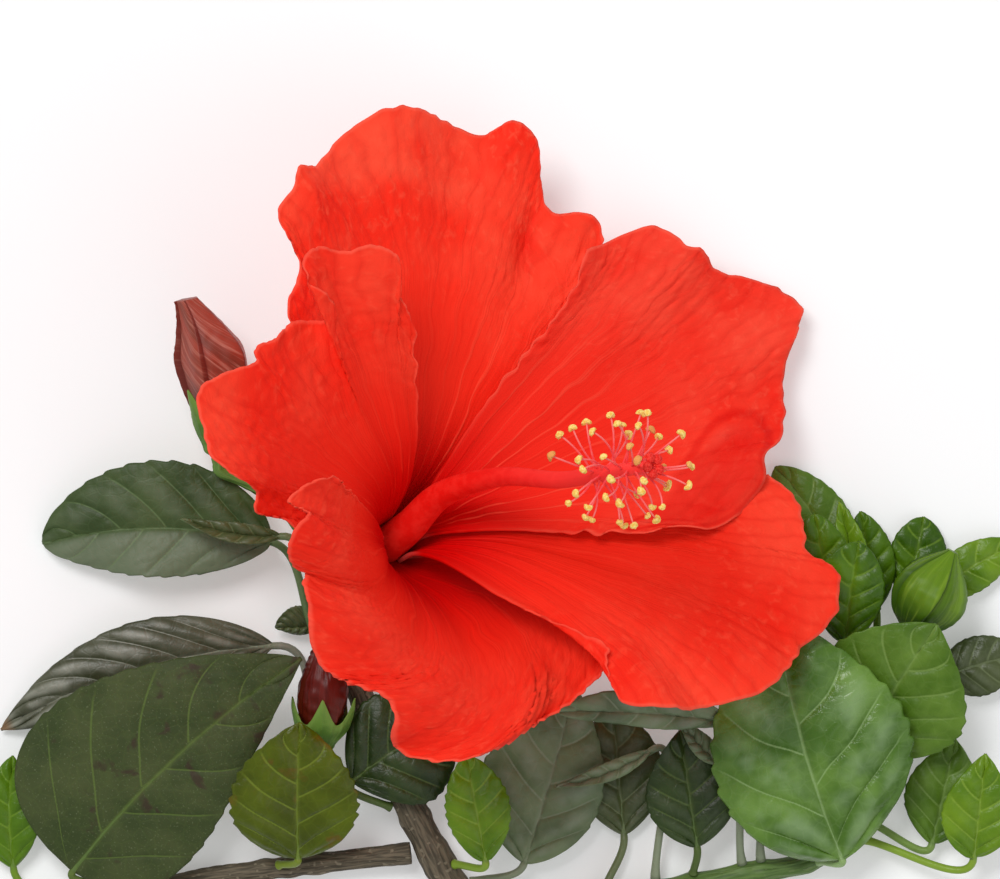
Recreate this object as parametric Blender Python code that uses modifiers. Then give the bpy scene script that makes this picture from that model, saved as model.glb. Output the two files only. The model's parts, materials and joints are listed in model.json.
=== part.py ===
"""A cut flowering branch of red hibiscus, lying on a level surface.

One open bloom of five ruffled petals faces up and a little to the right. Its stamen column stands
out of the throat. Three buds and twenty-seven leaves grow from one woody stem and its two side
shoots. The stem ends in a flat cut. Lengths are in millimetres until a mesh is written, in metres.
"""
import math

import bmesh
import bpy
from mathutils import Matrix, Vector

MM = 0.001
UP = Vector((0.0, 0.0, 1.0))
# Middle of the footprint at the lowest point, in the layout's own millimetres.
ORIGIN = Vector((0.6, -19.1, 0.1))

# Clearance between two pieces that touch on the real branch.
SEAT = 0.3
# How nearly along its stem a stalk may leave it: the cosine of the angle between them.
MOST_SLANT = 0.75
# How finely stems are rounded, and the stretch over which their direction is read.
BARK_ROUNDNESS = 2
NEARBY = 0.01
FINE_STEPS = 12
WELD = 0.00002

# The bloom: centre of its throat, and how its axis leans away from straight up.
THROAT = Vector((-20.7, -18.9, 20.0))
AXIS_TILT = math.radians(40.0)
AXIS_LEAN = math.radians(33.0)
CLAW_RADIUS = 3.6
PETAL_THICKNESS = 0.9
PETAL_COLUMNS = 26
PETAL_ROWS = 9
# A petal leans out from its claw to its flare, then curls, over these lengths.
PETAL_STRIDE = 2.0
FLARE_LENGTH = 30.0
CURL_FROM = 35.0
CURL_LENGTH = 45.0
# Lengths over which it spreads to its full width and lifts off its neighbour.
SPREAD_LENGTH = 16.0
LIFT_LENGTH = 7.0
SWELL_SKEW = 0.6
# A petal is a plain fan near its claw, and takes on the azimuths of its own rim with this power.
RIM_POWER = 3

# Each petal is read from u = -1 to u = +1 along its rim: azimuth about the bloom's axis in degrees,
# reach along the petal in millimetres, then the claw's lean, flare, curl, lift and the bulge of its
# sides, in degrees of azimuth, at u = -1, 0 and +1. "spread" is the claw's share of its full fan.
PETALS = {
    "petal_top": {
        "azimuth": (110, 106.5, 101, 97, 96.5, 95.5, 91.5, 89.5, 85, 80, 73, 67.5, 62, 56.5, 50.5, 47,
                    43, 41, 39, 36, 29.5, 25.5, 24.5, 19),
        "reach": (55, 57.5, 58, 60.5, 66, 70, 72, 75, 73.5, 75, 78.5, 82, 81, 78.5, 77.5, 81, 79,
                  75, 71, 68, 71, 68.5, 64, 61.5),
        "claw": (14, 14, 14), "flare": (66, 68, 66), "curl": (6, 10, 4),
        "lift": (-1.5, -1.2, -1.5), "swell": (0.0, 0.0, 0.0), "spread": 0.55,
        "waves": 4.5, "phase": 0.4,
    },
    "petal_right": {
        "azimuth": (28.5, 25, 22.5, 19.5, 14, 11, 7.5, 4, 0.5, -4, -8, -12, -16.5, -21.5, -24.5, -29,
                    -34, -39, -40, -42),
        "reach": (64.5, 68, 72.5, 76.5, 77.5, 79.5, 80, 84, 88, 88.5, 83.5, 80, 77.5, 74.5, 70, 69,
                  65, 58, 53, 48.5),
        "claw": (14, 14, 14), "flare": (66, 66, 62), "curl": (6, 8, 2),
        "lift": (1.3, 0.8, 1.5), "swell": (9.0, 0.0, 4.0), "spread": 0.5,
        "waves": 4.0, "phase": 2.0,
    },
    "petal_low": {
        "azimuth": (-28, -32, -36.5, -41, -43, -46.5, -51, -56, -61, -67.5, -72.5, -77, -83, -88,
                    -90.5, -88, -84),
        "reach": (70.5, 75, 76, 77, 81.5, 83, 82.5, 78.5, 77, 74.5, 71, 67, 64.5, 61, 56.5, 51, 48),
        "claw": (14, 14, 14), "flare": (62, 66, 64), "curl": (6, 10, 12),
        "lift": (-1.5, 0.0, 1.3), "swell": (0.0, 0.0, 7.0), "spread": 0.85,
        "waves": 4.0, "phase": 0.9,
    },
    "petal_front": {
        "azimuth": (-68, -79, -91.5, -107.5, -121.5, -132.5, -142, -148, -152, -159, -166, -172.5,
                    -178.5, -183, -185, -189, -193, -195.5, -198.5, -202, -203.5),
        "reach": (45.5, 45, 45.5, 48, 53, 58, 59.5, 58.5, 55, 56, 58, 58, 57, 56, 54, 59.5, 61, 59,
                  63, 58, 50.5),
        "claw": (40, 40, 38), "flare": (62, 56, 44), "curl": (44, 76, 20),
        "lift": (-1.7, 0.0, 2.8), "swell": (30.0, 0.0, 0.0), "spread": 0.6,
        "waves": 5.0, "phase": 1.3,
    },
    "petal_left": {
        "azimuth": (166.5, 160, 158, 154, 152, 148.5, 143, 137.5, 133.5, 127.5, 125, 119.5, 111.5, 106,
                    104, 107, 104.5, 100, 95.5, 89, 85.5, 88, 85.5, 83.5),
        "reach": (43.5, 47, 54.5, 55, 61.5, 66.5, 67, 69, 66.5, 60.5, 61.5, 58.5, 56, 52.5, 55, 61.5,
                  65.5, 65.5, 62.5, 61.5, 58, 54.5, 50, 47),
        "claw": (14, 14, 14), "flare": (68, 62, 50), "curl": (14, 20, 10),
        "lift": (-2.4, 0.0, 1.5), "swell": (0.0, 0.0, 3.0), "spread": 0.6,
        "waves": 4.5, "phase": 2.6,
    },
}
RUFFLE = 1.3
RUFFLE_POWER = 4
RUFFLE_AT_SIDES = 0.45

# The stamen column: its path from the throat to the stigma, and its radius on the way.
COLUMN_PATH = (
    (-23.7, -20.8, 15.8), (-20.7, -18.9, 20.0), (-16.2, -15.4, 26.2), (-10.2, -9.6, 34.0),
    (0.0, -6.5, 46.0), (10.5, -7.0, 58.0), (18.0, -5.8, 67.0), (25.4, -4.6, 75.2),
)
COLUMN_RADII = (2.4, 2.7, 2.8, 2.4, 1.7, 1.5, 1.35, 1.05)
COLUMN_STEPS = 14
STAMENS = 38
STAMEN_FROM = 0.78
STAMEN_TO = 0.97
FILAMENT_LENGTH = 9.0
FILAMENT_RADIUS = 0.3
FILAMENT_TAPER = 0.8
FILAMENT_SHORTEST = 0.82
FILAMENT_GROWTH = 0.075
FILAMENT_LEAN = 62.0
FILAMENT_SWAY = 9.0
ANTHER_RADIUS = 0.75
GOLDEN_ANGLE = math.radians(137.5)
STIGMA_PADS = 5
STIGMA_RADIUS = 1.15
STIGMA_RING = 2.1
STYLE_RADII = (0.45, 0.4)
STYLE_FOOT = 0.6
STYLE_RISE = 1.6
ROD_SIDES = 4

# The calyx round the bloom's foot: height along the bloom's axis against radius.
CALYX_PROFILE = ((-9.0, 0.0), (-8.4, 2.6), (-5.0, 4.6), (0.0, 6.9), (5.0, 13.2), (12.0, 20.8))
CALYX_RIM = 4.0
CALYX_LOBE = 9.0
CALYX_THICKNESS = 0.7
CALYX_LOBES = 5
CALYX_TURN = 0.35
CALYX_COLUMNS = 20
CALYX_ROWS = 6
BRACTS = 7
# Distance out, height and half width of a bract at its foot, halfway and at its tip.
BRACT_OUT = (3.6, 7.05, 9.5)
BRACT_HEIGHTS = (-6.7, -3.25, 1.8)
BRACT_WIDTHS = (0.3, 0.9, 0.25)
BRACT_ROWS = 4
BRACT_THICKNESS = 0.6

# Stems: the way each runs along its axis, and its radius on that way. One that grows from another
# names it and how far along it starts; one that carries a bud or the bloom ends at its seat.
STEMS = {
    "stem_main": {
        "path": ((0.0, -98.0, 3.2), (-4.5, -89.0, 3.6), (-12.6, -74.0, 4.2), (-20.7, -58.0, 4.8),
                 (-26.5, -43.0, 5.4), (-30.0, -29.5, 6.0)),
        "radii": (3.1, 3.0, 2.7, 2.5, 2.2, 1.9), "steps": 12, "tone": "bark",
    },
    "shoot_left": {
        "from": "stem_main", "at": 0.35,
        "path": ((-24.0, -76.0, 3.6), (-38.0, -77.6, 3.0), (-56.0, -80.0, 2.6), (-75.0, -84.0, 2.4)),
        "radii": (1.9, 1.8, 1.7, 1.5, 1.2), "steps": 10, "tone": "bark",
    },
    "shoot_right": {
        "from": "stem_main", "at": 0.087,
        "path": ((8.0, -87.4, 3.2), (22.0, -83.6, 3.0), (42.0, -79.4, 2.8), (58.0, -76.0, 2.6),
                 (67.0, -66.0, 2.6), (70.5, -52.0, 2.8), (71.3, -38.5, 3.4)),
        "radii": (2.0, 2.0, 1.9, 1.8, 1.7, 1.6, 1.5, 1.3), "steps": 16, "tone": "green",
    },
    "stalk_bloom": {
        "from": "stem_main", "at": 1.0, "carries": "bloom",
        "path": ((-29.4, -25.6, 8.2),),
        "radii": (1.5, 1.4, 1.4, 1.6), "steps": 8, "tone": "green",
    },
    "stalk_bud_left": {
        "from": "stem_main", "at": 0.95, "carries": "bud_left",
        "path": ((-33.6, -23.4, 8.0), (-37.0, -15.4, 9.2), (-42.0, -10.0, 10.2), (-47.6, -6.9, 11.0)),
        "radii": (0.9, 0.9, 0.9, 1.0, 1.1, 1.3), "steps": 11, "tone": "green",
    },
    "stalk_bud_low": {
        "from": "shoot_left", "at": 0.29, "carries": "bud_low",
        "path": ((-33.3, -70.0, 6.0), (-32.9, -64.0, 8.6)),
        "radii": (0.9, 0.9, 0.9, 1.1), "steps": 7, "tone": "green",
    },
    "stalk_bud_right": {
        "from": "shoot_right", "at": 1.0, "carries": "bud_right",
        "path": ((72.0, -36.2, 6.4),),
        "radii": (0.9, 0.9, 1.0, 1.3), "steps": 7, "tone": "green",
    },
}

# Buds: foot, tip, radius from foot to tip, sideways bend, and the lobes of the furled petals,
# with how deep they are and how far they wind round the bud, in degrees.
BUDS = {
    "bud_left": {
        "foot": (-51.4, -1.2, 12.2), "tip": (-56.6, 25.4, 16.0), "bend": -2.6, "tone": "maroon",
        "radii": (1.2, 2.9, 4.2, 5.3, 5.9, 5.9, 4.6, 3.2, 2.0), "lobes": 2, "depth": 0.12,
        "twist": 40.0, "sides": 12,
    },
    "bud_low": {
        "foot": (-32.6, -55.2, 11.0), "tip": (-32.2, -34.4, 12.6), "bend": -0.6, "tone": "maroon",
        "radii": (1.2, 3.0, 3.9, 4.4, 4.4, 3.9, 2.9, 1.8, 0.7), "lobes": 3, "depth": 0.08,
        "twist": 60.0, "sides": 12,
    },
    "bud_right": {
        "foot": (73.8, -34.4, 9.2), "tip": (82.0, -20.2, 12.0), "bend": 0.0, "tone": "bright",
        "radii": (1.5, 4.2, 5.6, 6.4, 6.5, 5.9, 4.6, 2.8, 1.1), "lobes": 5, "depth": 0.07,
        "twist": 12.0, "sides": 15,
    },
}
BUD_STEPS = 8
# Bud calyxes: height of the cup's rim, length of its lobes and their turn round the bud.
BUD_CALYXES = {
    "calyx_bud_left": {"bud": "bud_left", "rim": 5.5, "lobe": 6.5, "turn": 0.9},
    "calyx_bud_low": {"bud": "bud_low", "rim": 4.0, "lobe": 5.0, "turn": 0.3},
}
CALYX_GAP = 1.0
CALYX_FLOOR = 1.3
CUP_THICKNESS = 0.6
CUP_ROWS = 7

# Leaves: the stem and how far along it the leafstalk starts, then the blade's base and tip, how
# far its midrib bows to its left and arches up, its half widths to left and right, where it is
# widest, how far its halves rise, how far it is rolled about its midrib, and its tone.
LEAVES = {
    "leaf_left_upper": {
        "stem": "stem_main", "at": 0.845, "base": (-41.6, -18.5, 7.0), "tip": (-83.4, -18.8, 1.6),
        "bow": -2.6, "arch": 3.0, "halves": (9.0, 12.6), "widest": 0.47, "fold": 6.0, "roll": 0.0,
        "blunt": 0.62, "tone": "dark",
    },
    "leaf_left_young": {
        "stem": "stem_main", "at": 0.885, "base": (-39.6, -17.4, 12.6), "tip": (-57.8, -14.2, 13.0),
        "bow": 1.0, "arch": 0.6, "halves": (2.6, 2.6), "widest": 0.40, "fold": 42.0, "roll": 10.0,
        "tone": "bright",
    },
    "leaf_left_small": {
        "stem": "stem_main", "at": 0.8, "base": (-33.4, -34.0, 3.4), "tip": (-41.0, -34.2, 2.6),
        "bow": 0.0, "arch": 0.6, "halves": (1.6, 4.6), "widest": 0.42, "fold": 20.0, "roll": -12.0,
        "tone": "dark",
    },
    "leaf_left_grey": {
        "stem": "shoot_left", "at": 0.375, "base": (-41.2, -37.4, 4.2), "tip": (-91.0, -52.8, 1.4),
        "bow": -3.2, "arch": 3.6, "halves": (8.0, 8.6), "widest": 0.45, "fold": 10.0, "roll": 8.0,
        "tone": "dark",
    },
    "leaf_left_large": {
        "stem": "shoot_left", "at": 0.9, "base": (-77.6, -78.4, 6.6), "tip": (-35.8, -39.4, 17.4),
        "bow": 2.4, "arch": 2.0, "halves": (22.5, 15.0), "widest": 0.28, "fold": 2.0, "roll": 0.0,
        "tone": "dark",
    },
    "leaf_left_bright": {
        "stem": "shoot_left", "at": 0.45, "base": (-36.6, -76.0, 9.0), "tip": (-36.0, -50.9, 19.6),
        "bow": 0.3, "arch": 1.8, "halves": (12.2, 11.2), "widest": 0.42, "fold": 8.0, "roll": 0.0,
        "blunt": 0.75, "tone": "bright",
    },
    "leaf_left_edge": {
        "stem": "shoot_left", "at": 1.0, "base": (-88.6, -78.0, 3.0), "tip": (-88.6, -57.4, 4.6),
        "bow": 0.6, "arch": 1.2, "halves": (6.0, 5.4), "widest": 0.45, "fold": 6.0, "roll": 0.0,
        "tone": "bright",
    },
    "leaf_under_front": {
        "stem": "stem_main", "at": 0.44, "base": (-27.0, -62.0, 9.0), "tip": (-6.4, -49.2, 9.4),
        "bow": 0.8, "arch": 1.4, "halves": (10.4, 11.4), "widest": 0.45, "fold": 4.0, "roll": 0.0,
        "tone": "dark",
    },
    "leaf_mid_grey": {
        "stem": "stem_main", "at": 0.247, "base": (4.4, -77.0, 4.6), "tip": (13.6, -44.6, 6.6),
        "bow": -0.4, "arch": 0.8, "halves": (12.6, 10.0), "widest": 0.42, "fold": 5.0, "roll": 0.0,
        "tone": "dark",
    },
    "leaf_mid_vivid": {
        "stem": "stem_main", "at": 0.31, "base": (-2.6, -76.4, 11.6), "tip": (-6.0, -57.0, 14.0),
        "bow": 0.0, "arch": 1.0, "halves": (5.6, 6.2), "widest": 0.50, "fold": 8.0, "roll": 0.0,
        "blunt": 0.65, "tone": "bright",
    },
    "leaf_mid_glaucous": {
        "stem": "shoot_right", "at": 0.485, "base": (43.6, -51.4, 13.6), "tip": (9.6, -49.0, 17.0),
        "bow": -1.0, "arch": 2.4, "halves": (3.0, 5.4), "widest": 0.50, "fold": 14.0, "roll": -26.0,
        "tone": "dark",
    },
    "leaf_mid_right": {
        "stem": "shoot_right", "at": 0.355, "base": (35.8, -74.0, 7.4), "tip": (32.6, -52.6, 9.6),
        "bow": 0.0, "arch": 0.8, "halves": (8.0, 8.8), "widest": 0.44, "fold": 6.0, "roll": 0.0,
        "tone": "dark",
    },
    "leaf_mid_light": {
        "stem": "shoot_right", "at": 0.452, "base": (39.8, -58.6, 13.2), "tip": (32.8, -51.0, 12.6),
        "bow": 0.4, "arch": 0.5, "halves": (1.8, 2.4), "widest": 0.42, "fold": 12.0, "roll": 0.0,
        "tone": "bright",
    },
    "leaf_mid_folded": {
        "stem": "shoot_right", "at": 0.29, "base": (27.4, -56.4, 7.2), "tip": (10.2, -62.8, 9.6),
        "bow": 1.0, "arch": 0.8, "halves": (2.0, 2.2), "widest": 0.42, "fold": 36.0, "roll": 8.0,
        "tone": "bright",
    },
    "leaf_mid_deep": {
        "stem": "shoot_right", "at": 0.185, "base": (22.6, -72.0, 2.6), "tip": (20.4, -47.6, 3.6),
        "bow": 0.0, "arch": 0.6, "halves": (8.0, 8.4), "widest": 0.46, "fold": 6.0, "roll": 0.0,
        "tone": "dark",
    },
    "leaf_right_large": {
        "stem": "shoot_right", "at": 0.565, "base": (62.0, -76.0, 9.6), "tip": (49.8, -32.6, 17.6),
        "bow": 1.4, "arch": 2.6, "halves": (17.0, 19.6), "widest": 0.44, "fold": 5.0, "roll": 0.0,
        "blunt": 0.7, "tone": "bright",
    },
    "leaf_right_wide": {
        "stem": "shoot_right", "at": 0.755, "base": (64.8, -57.0, 7.0), "tip": (78.8, -33.3, 17.2),
        "bow": 0.4, "arch": 1.8, "halves": (14.0, 14.4), "widest": 0.45, "fold": 5.0, "roll": 0.0,
        "blunt": 0.8, "tone": "bright",
    },
    "leaf_right_low": {
        "stem": "shoot_right", "at": 0.69, "base": (78.6, -73.6, 3.6), "tip": (82.8, -54.4, 4.8),
        "bow": 0.0, "arch": 1.0, "halves": (7.0, 7.0), "widest": 0.45, "fold": 4.0, "roll": 0.0,
        "tone": "bright",
    },
    "leaf_right_tip": {
        "stem": "shoot_right", "at": 0.65, "base": (86.0, -75.8, 7.6), "tip": (87.9, -56.8, 11.4),
        "bow": 0.0, "arch": 1.2, "halves": (6.8, 6.4), "widest": 0.40, "fold": 8.0, "roll": 0.0,
        "tone": "bright",
    },
    "leaf_right_edge": {
        "stem": "shoot_right", "at": 0.9, "base": (79.6, -43.4, 4.0), "tip": (96.4, -38.6, 2.0),
        "bow": 0.4, "arch": 1.0, "halves": (5.2, 5.8), "widest": 0.45, "fold": 6.0, "roll": 0.0,
        "tone": "dark",
    },
    "leaf_bud_side": {
        "stem": "shoot_right", "at": 0.935, "base": (77.2, -30.2, 2.2), "tip": (95.6, -18.6, 2.6),
        "bow": 1.4, "arch": 0.8, "halves": (4.2, 4.6), "widest": 0.50, "fold": 4.0, "roll": 0.0,
        "tone": "bright",
    },
    "leaf_bud_behind": {
        "stem": "shoot_right", "at": 0.968, "base": (73.8, -31.0, 1.6), "tip": (77.2, -14.0, 2.2),
        "bow": 0.0, "arch": 0.6, "halves": (4.8, 5.4), "widest": 0.60, "fold": 0.0, "roll": 0.0,
        "blunt": 0.6, "tone": "bright",
    },
    "leaf_cluster_back": {
        "stem": "shoot_right", "at": 0.895, "base": (64.2, -27.0, 1.8), "tip": (50.2, -4.8, 1.6),
        "bow": -1.0, "arch": 1.2, "halves": (8.6, 6.0), "widest": 0.50, "fold": 2.0, "roll": 0.0,
        "blunt": 0.7, "tone": "dark",
    },
    "leaf_cluster_side": {
        "stem": "shoot_right", "at": 0.945, "base": (68.6, -31.0, 1.4), "tip": (65.6, -13.0, 3.6),
        "bow": 0.0, "arch": 0.6, "halves": (4.0, 4.8), "widest": 0.50, "fold": 6.0, "roll": 0.0,
        "blunt": 0.7, "tone": "dark",
    },
    "leaf_cluster_young": {
        "stem": "shoot_right", "at": 0.918, "base": (65.6, -28.4, 6.4), "tip": (61.6, -11.2, 7.6),
        "bow": 0.0, "arch": 0.6, "halves": (3.0, 3.4), "widest": 0.45, "fold": 28.0, "roll": 0.0,
        "tone": "bright",
    },
    "leaf_cluster_left": {
        "stem": "shoot_right", "at": 0.87, "base": (62.4, -35.6, 6.0), "tip": (57.0, -13.4, 10.4),
        "bow": 0.6, "arch": 0.6, "halves": (6.4, 5.4), "widest": 0.55, "fold": 6.0, "roll": 0.0,
        "blunt": 0.6, "tone": "bright",
    },
    "leaf_cluster_front": {
        "stem": "shoot_right", "at": 0.845, "base": (62.6, -37.0, 9.2), "tip": (64.9, -18.4, 14.0),
        "bow": 0.4, "arch": 1.0, "halves": (6.6, 6.2), "widest": 0.52, "fold": 6.0, "roll": 0.0,
        "blunt": 0.6, "tone": "bright",
    },
}
LEAF_RINGS = (0.04, 0.14, 0.26, 0.38, 0.50, 0.62, 0.74, 0.86, 0.95, 1.0)
LEAF_STATIONS = (1.0, 0.5, 0.0, -0.5, -1.0)
LEAFSTALK_RADIUS = 0.7
LEAFSTALK_SIDES = 8
LEAFSTALK_SHARES = (0.0, 0.3, 0.6, 0.9)
BLADE_HALF = 0.36
MIDRIB_DEPTH = 0.75
DROOP = 0.10
TOOTH = 0.035
TOOTHED_FROM = 0.3
LEAF_BLUNT = 0.85
TIP_HALF = 0.3
TIP_THIN = 0.4

TONES = {
    "petal": ((0.80, 0.030, 0.012), 0.55),
    "column": ((0.70, 0.020, 0.020), 0.50),
    "dark": ((0.045, 0.085, 0.030), 0.38),
    "bright": ((0.120, 0.250, 0.030), 0.40),
    "bark": ((0.130, 0.105, 0.060), 0.75),
    "green": ((0.110, 0.200, 0.040), 0.50),
    "maroon": ((0.220, 0.030, 0.025), 0.50),
}


def smooth(t):
    """Ease from 0 to 1 as t goes from 0 to 1."""
    t = min(max(t, 0.0), 1.0)
    return t * t * (3.0 - 2.0 * t)


def spline(knots, t):
    """Value at t, from 0 to 1, on the smooth curve through evenly spaced knots."""
    last = len(knots) - 1
    span = min(int(t * last), last - 1)
    f = t * last - span
    a = knots[max(span - 1, 0)]
    b = knots[span]
    c = knots[span + 1]
    d = knots[min(span + 2, last)]
    bend = 2.0 * a - 5.0 * b + 4.0 * c - d
    turn = 3.0 * b - a - 3.0 * c + d
    return b + 0.5 * f * ((c - a) + f * (bend + f * turn))


def on_profile(profile, height):
    """Radius at a height on a profile of (height, radius) pairs."""
    for (low, r_low), (high, r_high) in zip(profile, profile[1:]):
        if height <= high:
            return r_low + (r_high - r_low) * max(height - low, 0.0) / (high - low)
    return profile[-1][1]


def bloom_axes():
    """Unit vectors of the bloom: across, across, and along its axis."""
    sin_t, cos_t = math.sin(AXIS_TILT), math.cos(AXIS_TILT)
    sin_l, cos_l = math.sin(AXIS_LEAN), math.cos(AXIS_LEAN)
    first = Vector((cos_t * cos_l, cos_t * sin_l, -sin_t))
    second = Vector((-sin_l, cos_l, 0.0))
    axis = Vector((sin_t * cos_l, sin_t * sin_l, cos_t))
    return first, second, axis


def dress(obj, tone):
    """Give an object its own material in a named tone."""
    colour, roughness = TONES[tone]
    material = bpy.data.materials.new(obj.name + "_finish")
    material.use_nodes = True
    shader = material.node_tree.nodes["Principled BSDF"]
    shader.inputs["Base Color"].default_value = (*colour, 1.0)
    shader.inputs["Roughness"].default_value = roughness
    shader.inputs["Metallic"].default_value = 0.0
    obj.data.materials.clear()
    obj.data.materials.append(material)


def place(name, data, branch, tone):
    """Put a mesh or curve in the branch's collection, dressed in its tone."""
    obj = bpy.data.objects.new(name, data)
    branch.objects.link(obj)
    dress(obj, tone)
    return obj


def to_metres(point):
    """A layout point in millimetres as a scene point in metres."""
    return (point - ORIGIN) * MM


def sheet_mesh(name, surface, columns, rows, closed=False):
    """Map a grid on surface(u, v), with u from -1 to 1 and v from 0 to 1."""
    shell = bmesh.new()
    bmesh.ops.create_grid(shell, x_segments=columns, y_segments=rows, size=1.0)
    for vert in shell.verts:
        vert.co = to_metres(surface(vert.co.x, 0.5 * (vert.co.y + 1.0)))
    if closed:
        bmesh.ops.remove_doubles(shell, verts=shell.verts, dist=WELD)
    bmesh.ops.recalc_face_normals(shell, faces=shell.faces)
    mesh = bpy.data.meshes.new(name)
    shell.to_mesh(mesh)
    shell.free()
    mesh.shade_smooth()
    return mesh


def thicken(obj, thickness):
    """Turn a sheet into a solid of even thickness, half to each side."""
    solid = obj.modifiers.new("Thickness", "SOLIDIFY")
    solid.thickness = thickness * MM
    solid.offset = 0.0


def loft_mesh(name, rings):
    """Skin over rings of points, all with one count, with flat ends."""
    skin = bmesh.new()
    loops = [[skin.verts.new(to_metres(point)) for point in ring] for ring in rings]
    count = len(rings[0])
    for low, high in zip(loops, loops[1:]):
        for k in range(count):
            skin.faces.new((low[k], low[(k + 1) % count], high[(k + 1) % count], high[k]))
    skin.faces.new(reversed(loops[0]))
    skin.faces.new(loops[-1])
    bmesh.ops.recalc_face_normals(skin, faces=skin.faces)
    mesh = bpy.data.meshes.new(name)
    skin.to_mesh(mesh)
    skin.free()
    mesh.shade_smooth()
    return mesh


def tube(name, points, radii, branch, tone):
    """A tapering stem on a polyline, with flat cut ends."""
    curve = bpy.data.curves.new(name, "CURVE")
    curve.dimensions = "3D"
    curve.bevel_depth = MM
    curve.bevel_resolution = BARK_ROUNDNESS
    curve.use_fill_caps = True
    line = curve.splines.new("POLY")
    line.points.add(len(points) - 1)
    for knot, point, radius in zip(line.points, points, radii):
        knot.co = (*to_metres(point), 1.0)
        knot.radius = radius
    return place(name, curve, branch, tone)


def fuse(name, pieces, branch, tone):
    """Join overlapping closed pieces in one solid by a Boolean union."""
    core = pieces[0]
    others = bpy.data.collections.new(name + "_pieces")
    for piece in pieces[1:]:
        branch.objects.unlink(piece)
        others.objects.link(piece)
    union = core.modifiers.new("Union", "BOOLEAN")
    union.operation = "UNION"
    union.operand_type = "COLLECTION"
    union.collection = others
    union.solver = "EXACT"
    graph = bpy.context.evaluated_depsgraph_get()
    mesh = bpy.data.meshes.new_from_object(core.evaluated_get(graph))
    mesh.name = name
    for piece in pieces:
        bpy.data.objects.remove(piece)
    bpy.data.collections.remove(others)
    return place(name, mesh, branch, tone)


def walk(knots, shares):
    """Points at shares of the length, from 0 to 1, of the smooth curve through some knots."""
    count = FINE_STEPS * (len(knots) - 1)
    fine = [spline(knots, i / count) for i in range(count + 1)]
    reach = [0.0]
    for here, there in zip(fine, fine[1:]):
        reach.append(reach[-1] + (there - here).length)
    points = []
    for share in shares:
        goal = share * reach[-1]
        span = max(i for i in range(count) if reach[i] <= goal or i == 0)
        part = (goal - reach[span]) / (reach[span + 1] - reach[span])
        points.append(fine[span].lerp(fine[span + 1], part))
    return points


def along_stem(name, t):
    """Point, direction and radius of a stem at t, from 0 at its start to 1 at its end."""
    path, radii = stem_path(name)
    behind, point, before = walk(path, (max(t - NEARBY, 0.0), t, min(t + NEARBY, 1.0)))
    return point, (before - behind).normalized(), spline(radii, t)


def leave_stem(name, at, toward, radius):
    """Where a branch of a stem starts, just clear of its bark, and the way that it leaves."""
    socket, ahead, bark = along_stem(name, at)
    if at >= 1.0:
        return socket + ahead * SEAT, ahead
    aim = (toward - socket).normalized()
    slant = min(max(aim.dot(ahead), -MOST_SLANT), MOST_SLANT)
    square = math.sqrt(1.0 - slant * slant)
    away = (aim - ahead * aim.dot(ahead)).normalized()
    leave = away * square + ahead * slant
    return socket + leave * (bark + SEAT + radius * abs(slant)) / square, leave


def seat_of(carried):
    """Where the stalk of the bloom or of a bud ends, and which way it points there."""
    if carried == "bloom":
        _, _, axis = bloom_axes()
        return THROAT + axis * (CALYX_PROFILE[0][0] - 0.5 * CALYX_THICKNESS - SEAT), axis
    bud = BUDS[carried]
    foot = Vector(bud["foot"])
    ahead = (Vector(bud["tip"]) - foot).normalized()
    cupped = any(cup["bud"] == carried for cup in BUD_CALYXES.values())
    below = CALYX_FLOOR + 0.5 * CUP_THICKNESS if cupped else 0.0
    return foot - ahead * (below + SEAT), ahead


def stem_path(name):
    """Knots of a stem's axis and its radii, with its ends on what holds and what it carries."""
    stem = STEMS[name]
    path = [Vector(point) for point in stem["path"]]
    if "from" in stem:
        start, leave = leave_stem(stem["from"], stem["at"], path[0], stem["radii"][0])
        path = [start + leave * stem["radii"][0] * stride for stride in range(3)] + path
    if "carries" in stem:
        seat, ahead = seat_of(stem["carries"])
        path += [seat - ahead * stem["radii"][-1] * stride for stride in (2, 1, 0)]
    return path, stem["radii"]


def tapered(knots, radii, steps):
    """Points and radii read evenly from a smooth stem."""
    shares = [i / steps for i in range(steps + 1)]
    return walk(knots, shares), [spline(radii, share) for share in shares]


def petal_profile(claw, flare, curl, length):
    """Distance out from and along the bloom's axis, and lean, after a length of petal."""
    steps = max(int(length / PETAL_STRIDE), 1)
    stride = length / steps
    out, rise, lean = CLAW_RADIUS, 0.0, math.radians(claw)
    for i in range(steps):
        s = (i + 0.5) * stride
        flared = (flare - claw) * smooth(s / FLARE_LENGTH)
        curled = curl * smooth((s - CURL_FROM) / CURL_LENGTH)
        lean = math.radians(claw + flared + curled)
        out += stride * math.sin(lean)
        rise += stride * math.cos(lean)
    return out, rise, lean


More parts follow.
